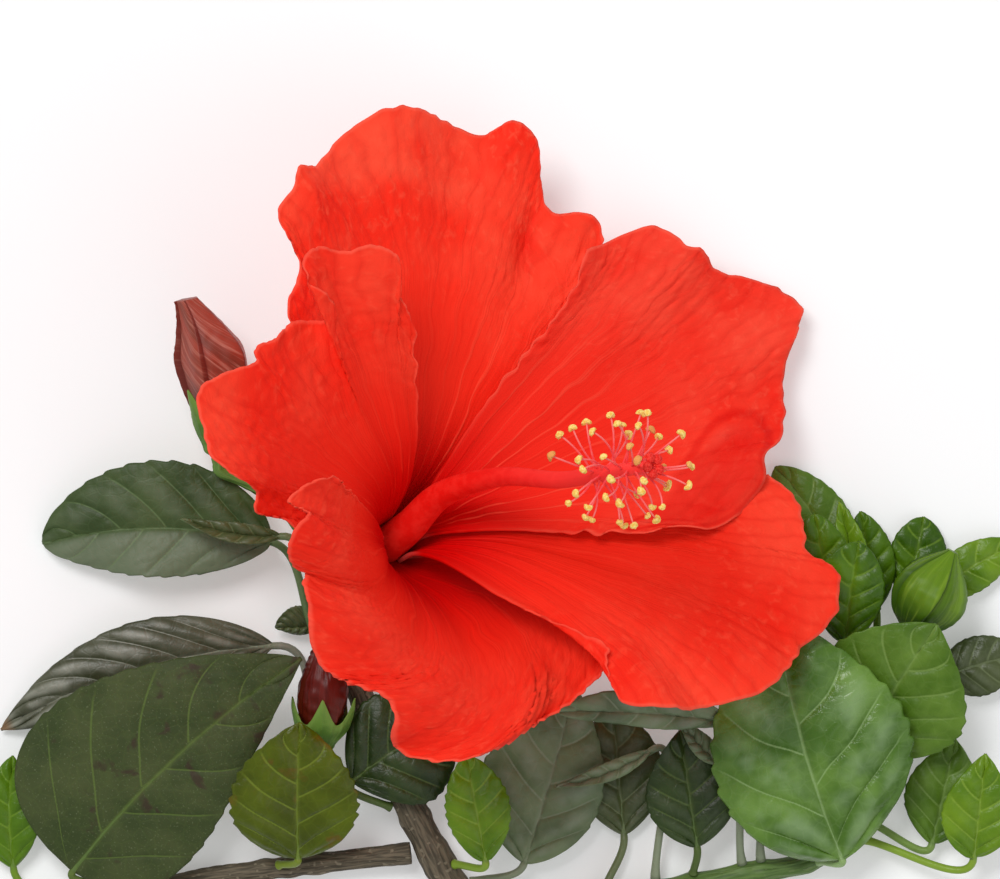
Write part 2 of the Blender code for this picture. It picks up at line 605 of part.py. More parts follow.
def petal_point(petal, u, v):
    """Point of a petal's middle surface: u across it, v from claw to rim."""
    across = 0.5 * (u + 1.0)
    length = v * spline(petal["reach"], across)
    first_side, last_side = petal["azimuth"][0], petal["azimuth"][-1]
    middle, fan = 0.5 * (first_side + last_side), 0.5 * (last_side - first_side) * u
    spread = petal["spread"] + (1.0 - petal["spread"]) * smooth(length / SPREAD_LENGTH)
    to_rim = (spline(petal["azimuth"], across) - middle - fan) * v ** RIM_POWER
    halfway = v ** SWELL_SKEW
    bulge = -u * abs(u) * spline(petal["swell"], across) * 4.0 * halfway * (1.0 - halfway)
    azimuth = math.radians(middle + fan * spread + to_rim + bulge)
    flare, curl = spline(petal["flare"], across), spline(petal["curl"], across)
    out, rise, lean = petal_profile(spline(petal["claw"], across), flare, curl, length)
    first, second, axis = bloom_axes()
    radial = first * math.cos(azimuth) + second * math.sin(azimuth)
    inward = axis * math.sin(lean) - radial * math.cos(lean)
    lift = spline(petal["lift"], across) * smooth(length / LIFT_LENGTH)
    wave = math.sin(math.tau * petal["waves"] * across + petal["phase"])
    ruffle = RUFFLE * wave * v ** RUFFLE_POWER * (1.0 - (1.0 - RUFFLE_AT_SIDES) * u * u)
    return THROAT + radial * out + axis * rise + inward * (lift + ruffle)


def build_petals(branch):
    """The five petals, each a thin ruffled sheet."""
    for name, petal in PETALS.items():
        surface = lambda u, v, p=petal: petal_point(p, u, v)
        mesh = sheet_mesh(name, surface, PETAL_COLUMNS, PETAL_ROWS)
        thicken(place(name, mesh, branch, "petal"), PETAL_THICKNESS)


def column_frame(t):
    """Point, radius and three axes of the stamen column at t, from foot to stigma."""
    path = [Vector(point) for point in COLUMN_PATH]
    point = spline(path, t)
    behind, before = spline(path, max(t - NEARBY, 0.0)), spline(path, min(t + NEARBY, 1.0))
    ahead = (before - behind).normalized()
    across = ahead.cross(UP).normalized()
    return point, spline(COLUMN_RADII, t), ahead, across, across.cross(ahead)


def cone(name, start, end, radii, branch):
    """A closed tapering rod between two layout points."""
    rod = bmesh.new()
    length = (end - start).length * MM
    bmesh.ops.create_cone(rod, cap_ends=True, segments=ROD_SIDES, radius1=radii[0] * MM,
                          radius2=radii[1] * MM, depth=length)
    mesh = bpy.data.meshes.new(name)
    turn = (end - start).to_track_quat("Z", "Y").to_matrix().to_4x4()
    rod.transform(turn)
    rod.to_mesh(mesh)
    rod.free()
    obj = place(name, mesh, branch, "column")
    mesh.transform(Matrix.Translation(to_metres(0.5 * (start + end))))
    return obj


def bead(name, centre, radius, branch):
    """A small round body."""
    ball = bmesh.new()
    bmesh.ops.create_icosphere(ball, subdivisions=1, radius=radius * MM)
    mesh = bpy.data.meshes.new(name)
    ball.to_mesh(mesh)
    ball.free()
    mesh.transform(Matrix.Translation(to_metres(centre)))
    return place(name, mesh, branch, "column")


def stamen_ends(index):
    """Root on the column's axis and anther centre of one stamen."""
    share = index / (STAMENS - 1)
    t = STAMEN_FROM + (STAMEN_TO - STAMEN_FROM) * share
    root, _, ahead, across, high = column_frame(t)
    angle = index * GOLDEN_ANGLE
    out = across * math.cos(angle) + high * math.sin(angle)
    length = FILAMENT_LENGTH * (FILAMENT_SHORTEST + FILAMENT_GROWTH * ((index * 7) % 5))
    lean = math.radians(FILAMENT_LEAN + FILAMENT_SWAY * ((index * 3) % 4))
    return root, root + length * (out * math.sin(lean) + ahead * math.cos(lean))


def build_column(branch):
    """The stamen column with its stamens and five stigma pads, as one solid."""
    path = [Vector(point) for point in COLUMN_PATH]
    points, radii = tapered(path, COLUMN_RADII, COLUMN_STEPS)
    rod = tube("column_rod", points, radii, branch, "column")
    pieces = [as_mesh(rod, branch)]
    thread = (FILAMENT_RADIUS, FILAMENT_RADIUS * FILAMENT_TAPER)
    for index in range(STAMENS):
        root, anther = stamen_ends(index)
        pieces.append(cone("filament", root, anther, thread, branch))
        pieces.append(bead("anther", anther, ANTHER_RADIUS, branch))
    tip, _, ahead, across, high = column_frame(1.0)
    for pad in range(STIGMA_PADS):
        angle = math.tau * pad / STIGMA_PADS
        out = across * math.cos(angle) + high * math.sin(angle)
        centre = tip + STYLE_RISE * ahead + STIGMA_RING * out
        pieces.append(cone("style", tip - STYLE_FOOT * ahead, centre, STYLE_RADII, branch))
        pieces.append(bead("pad", centre, STIGMA_RADIUS, branch))
    return fuse("stamen_column", pieces, branch, "column")


def as_mesh(curve_object, branch):
    """Swap a curve object for its welded mesh."""
    graph = bpy.context.evaluated_depsgraph_get()
    mesh = bpy.data.meshes.new_from_object(curve_object.evaluated_get(graph))
    solid = bmesh.new()
    solid.from_mesh(mesh)
    bmesh.ops.remove_doubles(solid, verts=solid.verts, dist=WELD)
    solid.to_mesh(mesh)
    solid.free()
    name = curve_object.name
    bpy.data.objects.remove(curve_object)
    mesh.name = name
    return place(name, mesh, branch, "column")


def lobed_rim(angle, turn):
    """Height share of a calyx's rim at an angle: 1 at a lobe's tip, 0 between two lobes."""
    return 1.0 - abs(math.sin(0.5 * CALYX_LOBES * (angle - turn)))


def calyx_point(u, v):
    """Point of the bloom's calyx: round it with u, from its foot to its lobed rim with v."""
    first, second, axis = bloom_axes()
    angle = math.pi * u
    top = CALYX_RIM + CALYX_LOBE * lobed_rim(angle, CALYX_TURN)
    height = CALYX_PROFILE[0][0] + (top - CALYX_PROFILE[0][0]) * v
    radius = on_profile(CALYX_PROFILE, height)
    return THROAT + height * axis + radius * (first * math.cos(angle) + second * math.sin(angle))


def bract_point(index, u, v):
    """Point of one narrow bract below the calyx."""
    first, second, axis = bloom_axes()
    angle = math.tau * (index + 0.5) / BRACTS
    radial = first * math.cos(angle) + second * math.sin(angle)
    side = second * math.cos(angle) - first * math.sin(angle)
    out = spline(BRACT_OUT, v)
    height = spline(BRACT_HEIGHTS, v)
    return THROAT + height * axis + out * radial + u * spline(BRACT_WIDTHS, v) * side


def solid_copy(obj, branch, tone):
    """Swap an object for a plain mesh with its modifiers applied."""
    graph = bpy.context.evaluated_depsgraph_get()
    mesh = bpy.data.meshes.new_from_object(obj.evaluated_get(graph))
    name = obj.name
    bpy.data.objects.remove(obj)
    return place(name, mesh, branch, tone)


def build_calyx(branch):
    """The bloom's green calyx with its ring of bracts."""
    skin = sheet_mesh("cup", calyx_point, CALYX_COLUMNS, CALYX_ROWS, closed=True)
    cup = place("cup", skin, branch, "green")
    thicken(cup, CALYX_THICKNESS)
    pieces = [solid_copy(cup, branch, "green")]
    for index in range(BRACTS):
        mesh = sheet_mesh("bract", lambda u, v, i=index: bract_point(i, u, v), 1, BRACT_ROWS)
        bract = place("bract", mesh, branch, "green")
        thicken(bract, BRACT_THICKNESS)
        pieces.append(solid_copy(bract, branch, "green"))
    return fuse("calyx_bloom", pieces, branch, "green")


def bud_frame(bud, t):
    """Centre, radius and three axes of a bud at t, from foot to tip."""
    foot, tip = Vector(bud["foot"]), Vector(bud["tip"])
    ahead = (tip - foot).normalized()
    across = UP.cross(ahead).normalized()
    centre = foot.lerp(tip, t) + across * bud["bend"] * 4.0 * t * (1.0 - t)
    return centre, spline(bud["radii"], t), ahead, across, ahead.cross(across)


def bud_point(bud, angle, t):
    """Point on a bud's furled surface."""
    centre, radius, _, across, high = bud_frame(bud, t)
    turned = bud["lobes"] * (angle - math.radians(bud["twist"]) * t)
    radius *= 1.0 + bud["depth"] * math.cos(turned)
    return centre + radius * (across * math.cos(angle) + high * math.sin(angle))


def build_bud(name, branch):
    """The furled body of one bud."""
    bud = BUDS[name]
    turns = [math.tau * k / bud["sides"] for k in range(bud["sides"])]
    shares = [i / BUD_STEPS for i in range(BUD_STEPS + 1)]
    rings = [[bud_point(bud, angle, t) for angle in turns] for t in shares]
    return place(name, loft_mesh(name, rings), branch, bud["tone"])


def bud_calyx_point(cup, u, v):
    """Point of a bud's calyx cup, kept just outside the bud."""
    bud = BUDS[cup["bud"]]
    angle = math.pi * u
    length = (Vector(bud["tip"]) - Vector(bud["foot"])).length
    top = cup["rim"] + cup["lobe"] * lobed_rim(angle, cup["turn"])
    height = CALYX_FLOOR * (v - 1.0) + top * v
    centre, radius, ahead, across, high = bud_frame(bud, max(height, 0.0) / length)
    out = across * math.cos(angle) + high * math.sin(angle)
    below = min(height / CALYX_FLOOR, 0.0)
    reach = (radius * (1.0 + bud["depth"]) + CALYX_GAP) * math.sqrt(max(1.0 - below * below, 0.0))
    return centre + below * CALYX_FLOOR * ahead + reach * out


def build_bud_calyx(name, branch):
    """The green cup round a bud's foot."""
    cup = BUD_CALYXES[name]
    surface = lambda u, v: bud_calyx_point(cup, u, v)
    mesh = sheet_mesh(name, surface, CALYX_COLUMNS, CUP_ROWS, closed=True)
    thicken(place(name, mesh, branch, "green"), CUP_THICKNESS)


def leaf_frame(leaf, v):
    """Point on a blade's midrib at v, with its forward, left and up directions."""
    base, tip = Vector(leaf["base"]), Vector(leaf["tip"])
    chord = tip - base
    left = UP.cross(chord).normalized()
    shift = left * leaf["bow"] + UP * leaf["arch"]
    point = base.lerp(tip, v) + 4.0 * v * (1.0 - v) * shift
    ahead = (chord + 4.0 * (1.0 - 2.0 * v) * shift).normalized()
    side = UP.cross(ahead).normalized()
    high = ahead.cross(side)
    roll = math.radians(leaf["roll"])
    rolled = side * math.cos(roll) + high * math.sin(roll)
    return point, ahead, rolled, ahead.cross(rolled)


def leaf_outline(leaf, v):
    """Share of the full half width at v along the blade."""
    power = math.log(0.5) / math.log(leaf["widest"])
    return max(math.sin(math.pi * min(v, 1.0) ** power), 0.0) ** leaf.get("blunt", LEAF_BLUNT)


def leaf_point(leaf, u, v, tooth=1.0):
    """Point of a blade's middle surface: u from -1 at its right rim to 1 at its left rim."""
    point, _, side, high = leaf_frame(leaf, v)
    half = leaf["halves"][0] if u > 0.0 else leaf["halves"][1]
    width = abs(u) * half * leaf_outline(leaf, v) * tooth
    rise = math.radians(leaf["fold"])
    droop = DROOP * width * abs(u)
    sway = math.copysign(1.0, u) * math.cos(rise) * width
    return point + side * sway + high * (width * math.sin(rise) - droop)


def leaf_ring(leaf, v, tooth):
    """Closed section of a blade: thin at the rims, with a keel under the midrib, or its tip."""
    point, _, side, high = leaf_frame(leaf, v)
    if v < 1.0:
        thin = 1.0
        upper = [leaf_point(leaf, u, v, tooth if abs(u) == 1.0 else 1.0) for u in LEAF_STATIONS]
    else:
        thin = TIP_THIN
        upper = [point + TIP_HALF * u * side for u in LEAF_STATIONS]
    ring = [upper[0]]
    ring += [point + high * BLADE_HALF * thin for point in upper[1:4]]
    ring.append(upper[4])
    keel = (BLADE_HALF, MIDRIB_DEPTH, BLADE_HALF)
    ring += [point - high * depth * thin for point, depth in zip(reversed(upper[1:4]), keel)]
    return ring


def leafstalk_rings(leaf):
    """Round sections of a leafstalk, from just clear of its stem to its blade."""
    base, ahead, side, _ = leaf_frame(leaf, 0.0)
    start, leave = leave_stem(leaf["stem"], leaf["at"], base, LEAFSTALK_RADIUS)
    reach = (base - start).length / 3.0
    knots = (start, start + leave * reach, base - ahead * reach, base)
    rings = []
    for t in LEAFSTALK_SHARES:
        rest = 1.0 - t
        point = (rest ** 3 * knots[0] + 3.0 * rest * rest * t * knots[1]
                 + 3.0 * rest * t * t * knots[2] + t ** 3 * knots[3])
        forward = (rest * rest * (knots[1] - knots[0]) + 2.0 * rest * t * (knots[2] - knots[1])
                   + t * t * (knots[3] - knots[2])).normalized()
        across = (side - forward * side.dot(forward)).normalized()
        over = forward.cross(across)
        turns = [math.tau * k / LEAFSTALK_SIDES for k in range(LEAFSTALK_SIDES)]
        rings.append([point + LEAFSTALK_RADIUS * (across * math.cos(a) + over * math.sin(a))
                      for a in turns])
    return rings


def build_leaf(name, branch):
    """One leaf: its stalk and its toothed blade in one skin."""
    leaf = LEAVES[name]
    rings = leafstalk_rings(leaf)
    for row, v in enumerate(LEAF_RINGS):
        tooth = 1.0 + TOOTH * (-1) ** row if v > TOOTHED_FROM else 1.0
        rings.append(leaf_ring(leaf, v, tooth))
    return place(name, loft_mesh(name, rings), branch, leaf["tone"])


def build_stem(name, branch):
    """One woody stem, side shoot or stalk."""
    stem = STEMS[name]
    path, radii = stem_path(name)
    points, radii = tapered(path, radii, stem["steps"])
    return tube(name, points, radii, branch, stem["tone"])


def main():
    """Clear the scene and build the branch."""
    for obj in list(bpy.data.objects):
        bpy.data.objects.remove(obj)
    branch = bpy.data.collections.new("hibiscus_branch")
    bpy.context.scene.collection.children.link(branch)
    build_petals(branch)
    build_column(branch)
    build_calyx(branch)
    for name in STEMS:
        build_stem(name, branch)
    for name in BUDS:
        build_bud(name, branch)
    for name in BUD_CALYXES:
        build_bud_calyx(name, branch)
    for name in LEAVES:
        build_leaf(name, branch)


main()
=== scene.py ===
"""The dressed model of a cut hibiscus branch: an open red bloom, three buds and their leaves.

Shapes are worked out in the layout's own millimetres and written as meshes in metres. Each piece
stands for the solid of the same name in the frame, and rides on the frame's one body.
"""
from __future__ import annotations

import json
import logging
import math
from collections.abc import Callable, Sequence
from dataclasses import dataclass, field, replace
from enum import Enum

import bpy
import numpy as np
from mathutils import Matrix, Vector

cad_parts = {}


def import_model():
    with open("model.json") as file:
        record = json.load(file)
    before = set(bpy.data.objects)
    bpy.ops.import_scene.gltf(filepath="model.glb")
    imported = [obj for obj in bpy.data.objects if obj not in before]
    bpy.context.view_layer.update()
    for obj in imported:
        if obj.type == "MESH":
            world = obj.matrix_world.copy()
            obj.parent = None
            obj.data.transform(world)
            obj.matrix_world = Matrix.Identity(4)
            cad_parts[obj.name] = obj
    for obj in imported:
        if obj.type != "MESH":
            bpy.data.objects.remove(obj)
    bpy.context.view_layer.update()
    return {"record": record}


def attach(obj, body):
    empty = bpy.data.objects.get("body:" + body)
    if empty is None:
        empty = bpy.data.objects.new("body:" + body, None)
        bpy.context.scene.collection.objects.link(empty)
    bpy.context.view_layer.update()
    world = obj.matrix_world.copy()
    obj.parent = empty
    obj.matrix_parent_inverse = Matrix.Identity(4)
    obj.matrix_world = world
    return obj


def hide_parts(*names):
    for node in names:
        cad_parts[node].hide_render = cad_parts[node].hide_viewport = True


LOG = logging.getLogger("hibiscus")

Array = np.ndarray
Knots = Sequence[float]
Point = tuple[float, float, float]
Colour = tuple[float, float, float]
# Where something starts and where it is whole, or its first value and its last.
Span = tuple[float, float]
Socket = bpy.types.NodeSocket

MM = 0.001
UP = np.array((0.0, 0.0, 1.0))
# Middle of the footprint at the lowest point, in the layout's own millimetres.
ORIGIN = np.array((0.6, -19.1, 0.1))
SEAT = 0.3
MOST_SLANT = 0.75
NEARBY = 0.01
FINE_STEPS = 12
# A cup's first row stands just off its axis.
FIRST_ROW = 0.004
# The record's material slot of each of the frame's nodes.
NODE_SLOTS: dict[str, str] = {}
# The materials mixed so far, by the name of their finish.
MIXED: dict[str, bpy.types.Material] = {}


def eased(value: Array | float) -> Array | float:
    """Ease from 0 to 1 as the value goes from 0 to 1."""
    value = np.clip(value, 0.0, 1.0)
    return value * value * (3.0 - 2.0 * value)


def grown(value: Array | float, span: Span) -> Array | float:
    """Ease from 0 to 1 as the value goes from where something starts to where it is whole."""
    return eased((value - span[0]) / (span[1] - span[0]))


def through(knots: Sequence, share: Array | float) -> Array:
    """Read the smooth curve through evenly spaced knots.

    Args:
        knots: Numbers or points, at even shares of the curve.
        share: Where to read it, from 0 to 1.

    Returns:
        The values or points there.
    """
    knots = np.asarray(knots, float)
    share = np.asarray(share, float)
    last = len(knots) - 1
    span = np.clip((share * last).astype(int), 0, last - 1)
    part = share * last - span
    if knots.ndim > 1:
        part = part[..., None]
    before, here = knots[np.maximum(span - 1, 0)], knots[span]
    there, after = knots[span + 1], knots[np.minimum(span + 2, last)]
    bend = 2.0 * before - 5.0 * here + 4.0 * there - after
    turn = 3.0 * here - before - 3.0 * there + after
    return here + 0.5 * part * ((there - before) + part * (bend + part * turn))


def column(count: int, first: float = 0.0) -> Array:
    """Even shares from the first to 1, one in each row."""
    return np.linspace(first, 1.0, count)[:, None]


def ring(sides: int) -> Array:
    """Angles at even steps of one whole turn."""
    return np.linspace(0.0, math.tau, sides, endpoint=False)


def spoke(turn: Array | float, first: Array, second: Array) -> Array:
    """Directions at some turns, from the first of two square ones towards the second."""
    turn = np.asarray(turn)[..., None]
    return np.cos(turn) * first + np.sin(turn) * second


def unit(vectors: Array) -> Array:
    """Scale vectors to a length of one."""
    length = np.linalg.norm(vectors, axis=-1, keepdims=True)
    return vectors / np.maximum(length, 1e-9)


def span_of(base: Point, tip: Point) -> float:
    """Distance between two points."""
    return float(np.linalg.norm(np.array(tip) - np.array(base)))


def ripples(x: Array, y: Array, pitch: float, seed: int, waves: int = 9) -> Array:
    """Smooth irregular relief, from about -1 to 1.

    Args:
        x: First coordinate in millimetres.
        y: Second coordinate in millimetres.
        pitch: Width of one hump and hollow.
        seed: Which relief of many.
        waves: How many crossing waves make it up.

    Returns:
        The height at each place.
    """
    dice = np.random.default_rng(seed)
    angles = dice.uniform(0.0, math.tau, waves)
    phases = dice.uniform(0.0, math.tau, waves)
    scales = dice.uniform(0.7, 1.5, waves) * math.tau / pitch
    total = np.zeros(np.broadcast(x, y).shape)
    for angle, phase, scale in zip(angles, phases, scales):
        total = total + np.sin((x * math.cos(angle) + y * math.sin(angle)) * scale + phase)
    return total / math.sqrt(waves)


def ridge(distance: Array, width: float) -> Array:
    """Height from 1 on a line down to 0 at a width from it, rounded."""
    return np.exp(-((distance / width) ** 2))


def linked(name: str, data: bpy.types.ID) -> bpy.types.Object:
    """A new object in the scene."""
    made = bpy.data.objects.new(name, data)
    bpy.context.scene.collection.objects.link(made)
    return made


@dataclass
class Shell:
    """Points and faces of one closed form, with the marks that its finish reads."""

    points: Array
    faces: Array
    marks: dict[str, Array] = field(default_factory=dict)

    @staticmethod
    def joined(shells: Sequence[Shell]) -> Shell:
        """Put several forms in one.

        Args:
            shells: The forms.

        Returns:
            The one form, with zero for a mark that one of them lacks.
        """
        names = sorted({name for shell in shells for name in shell.marks})
        starts = np.cumsum([0] + [len(shell.points) for shell in shells[:-1]])
        marks = {}
        for name in names:
            rows = [shell.marks.get(name, np.zeros(len(shell.points))) for shell in shells]
            marks[name] = np.concatenate(rows)
        faces = np.concatenate([shell.faces + start for shell, start in zip(shells, starts)])
        return Shell(np.concatenate([shell.points for shell in shells]), faces, marks)

    def placed(self, name: str, finish: Finish) -> None:
        """Write the form as a dressed piece that rides on the frame's body.

        Args:
            name: The piece's name. It stands for the frame's node of that name, if there is one.
            finish: What it is dressed in.
        """
        mesh = bpy.data.meshes.new(name)
        faces = [tuple(dict.fromkeys(face)) for face in self.faces.tolist()]
        mesh.from_pydata(((self.points - ORIGIN) * MM).tolist(), [], faces)
        mesh.shade_smooth()
        for mark, values in self.marks.items():
            layer = mesh.attributes.new(mark, "FLOAT", "POINT")
            layer.data.foreach_set("value", values.astype(np.float32))
        mesh.materials.append(finish.material())
        piece = linked(name, mesh)
        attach(piece, "root")
        if name in NODE_SLOTS:
            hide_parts(name)
        LOG.info("%s: %d faces", name, len(faces))


def quads(index: Array, wrapped: bool) -> Array:
    """Faces of a grid of points.

    Args:
        index: The points' numbers, by rows and columns.
        wrapped: Whether the last column meets the first.

    Returns:
        The four corners of each face.
    """
    following = np.roll(index, -1, axis=1)
    if not wrapped:
        index, following = index[:, :-1], following[:, :-1]
    corners = (index[:-1], following[:-1], following[1:], index[1:])
    return np.stack(corners, axis=-1).reshape(-1, 4)


def sheet(middle: Array, thickness: Array, marks: dict[str, Array], wrapped: bool = False) -> Shell:
    """Give a sheet its two faces and its rims.

    Args:
        middle: Points midway through the sheet, by rows and columns.
        thickness: How thick it is at each point.
        marks: Values for its finish at each point, or one for each row or column.
        wrapped: Whether the last column meets the first.

    Returns:
        The closed form. Its underside carries the mark "underside".
    """
    shape = middle.shape[:2]
    if wrapped:
        around = np.roll(middle, -1, axis=1) - np.roll(middle, 1, axis=1)
    else:
        around = np.gradient(middle, axis=1)
    normal = unit(np.cross(around, np.gradient(middle, axis=0)))
    half = 0.5 * np.broadcast_to(thickness, shape)[..., None] * normal
    index = np.arange(shape[0] * shape[1]).reshape(shape)
    points = np.concatenate([(middle + half).reshape(-1, 3), (middle - half).reshape(-1, 3)])
    upper = quads(index, wrapped)
    if wrapped:
        loops = [index[0], index[-1, ::-1]]
    else:
        right, left = index[1:, -1], index[-2:0:-1, 0]
        loops = [np.concatenate([index[0], right, index[-1, -2::-1], left])]
    faces = [upper, upper[:, ::-1] + index.size]
    for loop in loops:
        ahead = np.roll(loop, -1)
        faces.append(np.stack([ahead, loop, loop + index.size, ahead + index.size], axis=-1))
    doubled = {}
    for name, values in marks.items():
        doubled[name] = np.tile(np.broadcast_to(values, shape).ravel(), 2)
    doubled["underside"] = np.repeat((0.0, 1.0), index.size)
    return Shell(points, np.concatenate(faces), doubled)


def tube(rings: Array, marks: dict[str, Array]) -> Shell:
    """Skin over rings of points, closed at both ends.

    Args:
        rings: Points by ring and by turn.
        marks: Values for its finish at each point, or one for each ring or turn.

    Returns:
        The closed form.
    """
    shape = rings.shape[:2]
    ends = np.stack([rings[0].mean(axis=0), rings[-1].mean(axis=0)])
    index = np.arange(shape[0] * shape[1]).reshape(shape)
    faces = [quads(index, True)]
    for loop, hub in ((index[0][::-1], index.size), (index[-1], index.size + 1)):
        hubs = np.full(len(loop), hub)
        faces.append(np.stack([loop, np.roll(loop, -1), hubs, hubs], axis=-1))
    kept = {}
    for name, values in marks.items():
        values = np.broadcast_to(values, shape)
        kept[name] = np.concatenate([values.ravel(), (values[0].mean(), values[-1].mean())])
    return Shell(np.concatenate([rings.reshape(-1, 3), ends]), np.concatenate(faces), kept)


def rod(path: Array, radii: Array, sides: int, relief: Callable | None = None) -> Shell:
    """A round rod along a path.

    Args:
        path: Points of its axis.
        radii: Its radius at each point.
        sides: How many points go round it.
        relief: Gives the height of its surface from the turn and the length, if it has any.

    Returns:
        The closed form, with the marks "along", from 0 to 1, "length", "around" and "beside".
    """
    ahead = unit(np.gradient(path, axis=0))
    across = unit(np.cross(ahead, UP))
    above = np.cross(across, ahead)
    turns = ring(sides)
    steps = np.linalg.norm(np.diff(path, axis=0), axis=1)
    length = np.concatenate([[0.0], np.cumsum(steps)])[:, None]
    reach = np.repeat(np.asarray(radii, float)[:, None], sides, axis=1)
    if relief is not None:
        reach = reach + relief(turns[None, :], length)
    rings = path[:, None] + reach[..., None] * spoke(turns[None, :], across[:, None], above[:, None])
    marks = {"along": length / length[-1], "length": length,
             "around": np.cos(turns), "beside": np.sin(turns)}
    return tube(rings, marks)


class Value:
    """A number that a material works out at each point of its surface."""

    def __init__(self, recipe: Recipe, socket: Socket) -> None:
        """Keep the recipe that the number belongs to, and the socket that gives it."""
        self.recipe = recipe
        self.socket = socket

    def __add__(self, other: Value | float) -> Value:
        """The sum of the two."""
        return self.recipe.sum("ADD", self, other)

    def __sub__(self, other: Value | float) -> Value:
        """The difference of the two."""
        return self.recipe.sum("SUBTRACT", self, other)

    def __mul__(self, other: Value | float) -> Value:
        """The product of the two."""
        return self.recipe.sum("MULTIPLY", self, other)

    def __abs__(self) -> Value:
        """The number without its sign."""
        return self.recipe.sum("ABSOLUTE", self)

    def most(self, other: Value | float) -> Value:
        """The larger of the two."""
        return self.recipe.sum("MAXIMUM", self, other)

    def off_whole(self) -> Value:
        """How far the number is from the nearest whole one."""
        return self.recipe.sum("PINGPONG", self, 0.5)

    def window(self, low: float, high: float) -> Value:
        """Ease from 0 to 1 as it goes from low to high; the two may be the other way round."""
        inputs = {"Value": self, 1: low, 2: high}
        return Value(self.recipe, self.recipe.node("MapRange", inputs, 0, interpolation_type="SMOOTHSTEP"))

    def between(self, low: float, high: float) -> Value:
        """Number from low to high as it goes from 0 to 1."""
        return Value(self.recipe, self.recipe.node("MapRange", {"Value": self, 3: low, 4: high}, 0))


class Recipe:
    """One material in the making, with its nodes and the colour painted so far."""

    def __init__(self, name: str) -> None:
        """Start from a plain material.

        Args:
            name: The material's name.
        """
        self.material = bpy.data.materials.new(name)
        self.material.use_nodes = True
        self.tree = self.material.node_tree
        self.shader = self.tree.nodes["Principled BSDF"]
        self.colour: Colour | Socket = (0.0, 0.0, 0.0)

    def feed(self, socket: Socket, value: Value | Socket | float | Sequence[float]) -> None:
        """Link a socket to another, or set its value.

        Args:
            socket: The socket that takes it.
            value: What goes in.
        """
        if isinstance(value, Value):
            value = value.socket
        if isinstance(value, bpy.types.NodeSocket):
            self.tree.links.new(value, socket)
        elif isinstance(value, tuple) and socket.type == "RGBA":
            socket.default_value = (*value, 1.0)
        else:
            socket.default_value = value

    def node(self, kind: str, inputs: dict, output: str | int, **settings: str) -> Socket:
        """Add a node.

        Args:
            kind: Its type, without the leading "ShaderNode".
            inputs: What goes into its sockets, by name or by place.
            output: Which of its outputs is wanted, by name or by place.
            settings: Its own options.

        Returns:
            The output.
        """
        made = self.tree.nodes.new("ShaderNode" + kind)
        for key, value in settings.items():
            setattr(made, key, value)
        for key, value in inputs.items():
            self.feed(made.inputs[key], value)
        return made.outputs[output]

    def marks(self, *names: str) -> list[Value]:
        """Marks that the piece's shape carries."""
        return [Value(self, self.node("Attribute", {}, "Fac", attribute_name=name)) for name in names]

    def sum(self, operation: str, *values: Value | float) -> Value:
        """The result of a sum on numbers."""
        return Value(self, self.node("Math", dict(enumerate(values)), 0, operation=operation))

    def place(self, *parts: Value | float) -> Socket:
        """A place made of three numbers."""
        return self.node("CombineXYZ", dict(enumerate(parts)), 0)

    def noise(self, place: Socket, scale: float, detail: float = 2.0, warp: float = 0.0) -> Value:
        """Cloudy pattern from 0 to 1."""
        inputs = {"Vector": place, "Scale": scale, "Detail": detail, "Distortion": warp}
        return Value(self, self.node("TexNoise", inputs, "Fac"))

    def cells(self, place: Socket, scale: float) -> Value:
        """Distance from the walls of irregular cells."""
        inputs = {"Vector": place, "Scale": scale}
        return Value(self, self.node("TexVoronoi", inputs, "Distance", feature="DISTANCE_TO_EDGE"))

    def blend(self, share: Value, first: Socket | Colour, second: Socket | Colour) -> Socket:
        """Mix two colours by a share."""
        return self.node("Mix", {0: share, 6: first, 7: second}, 2, data_type="RGBA")

    def paint(self, share: Value, colour: Socket | Colour) -> None:
        """Paint a colour over what is there, by a share."""
        self.colour = self.blend(share, self.colour, colour)

    def dress(self, gloss: float, roughness: Value | float, height: Value | None = None,
              depth: float = 0.0002, strength: float = 1.0) -> None:
        """Finish the shader in the painted colour.

        Args:
            gloss: Its specular level, a plain value on the shader itself.
            roughness: Its roughness.
            height: Relief from 0 to 1, if there is any.
            depth: How deep the relief is, in metres.
            strength: How strongly the relief shows.
        """
        self.feed(self.shader.inputs["Base Color"], self.colour)
        self.feed(self.shader.inputs["Roughness"], roughness)
        self.shader.inputs["Specular IOR Level"].default_value = gloss
        if height is not None:
            inputs = {"Height": height, "Distance": depth, "Strength": strength}
            self.feed(self.shader.inputs["Normal"], self.node("Bump", inputs, "Normal"))


@dataclass(frozen=True)
class Finish:
    """A finish: its name, and the slot of the record that it stands for."""

    name: str
    slot: str

    def material(self) -> bpy.types.Material:
        """The finish's material.

        Returns:
            The material, made the first time that it is asked for.
        """
        if self.name not in MIXED:
            recipe = Recipe(self.name)
            self.mixed(recipe)
            MIXED[self.name] = recipe.material
        return MIXED[self.name]

    def mixed(self, recipe: Recipe) -> None:
        """Set the recipe's nodes."""
        raise NotImplementedError


@dataclass(frozen=True)
class VeinFan:
    """How the veins of a petal fan out: how many, where along it they fork, and how far apart."""

    count: float = 11.0
    fork_from: float = 0.32
    fork_to: float = 1.15
    fork: float = 0.34


VEINS = VeinFan()


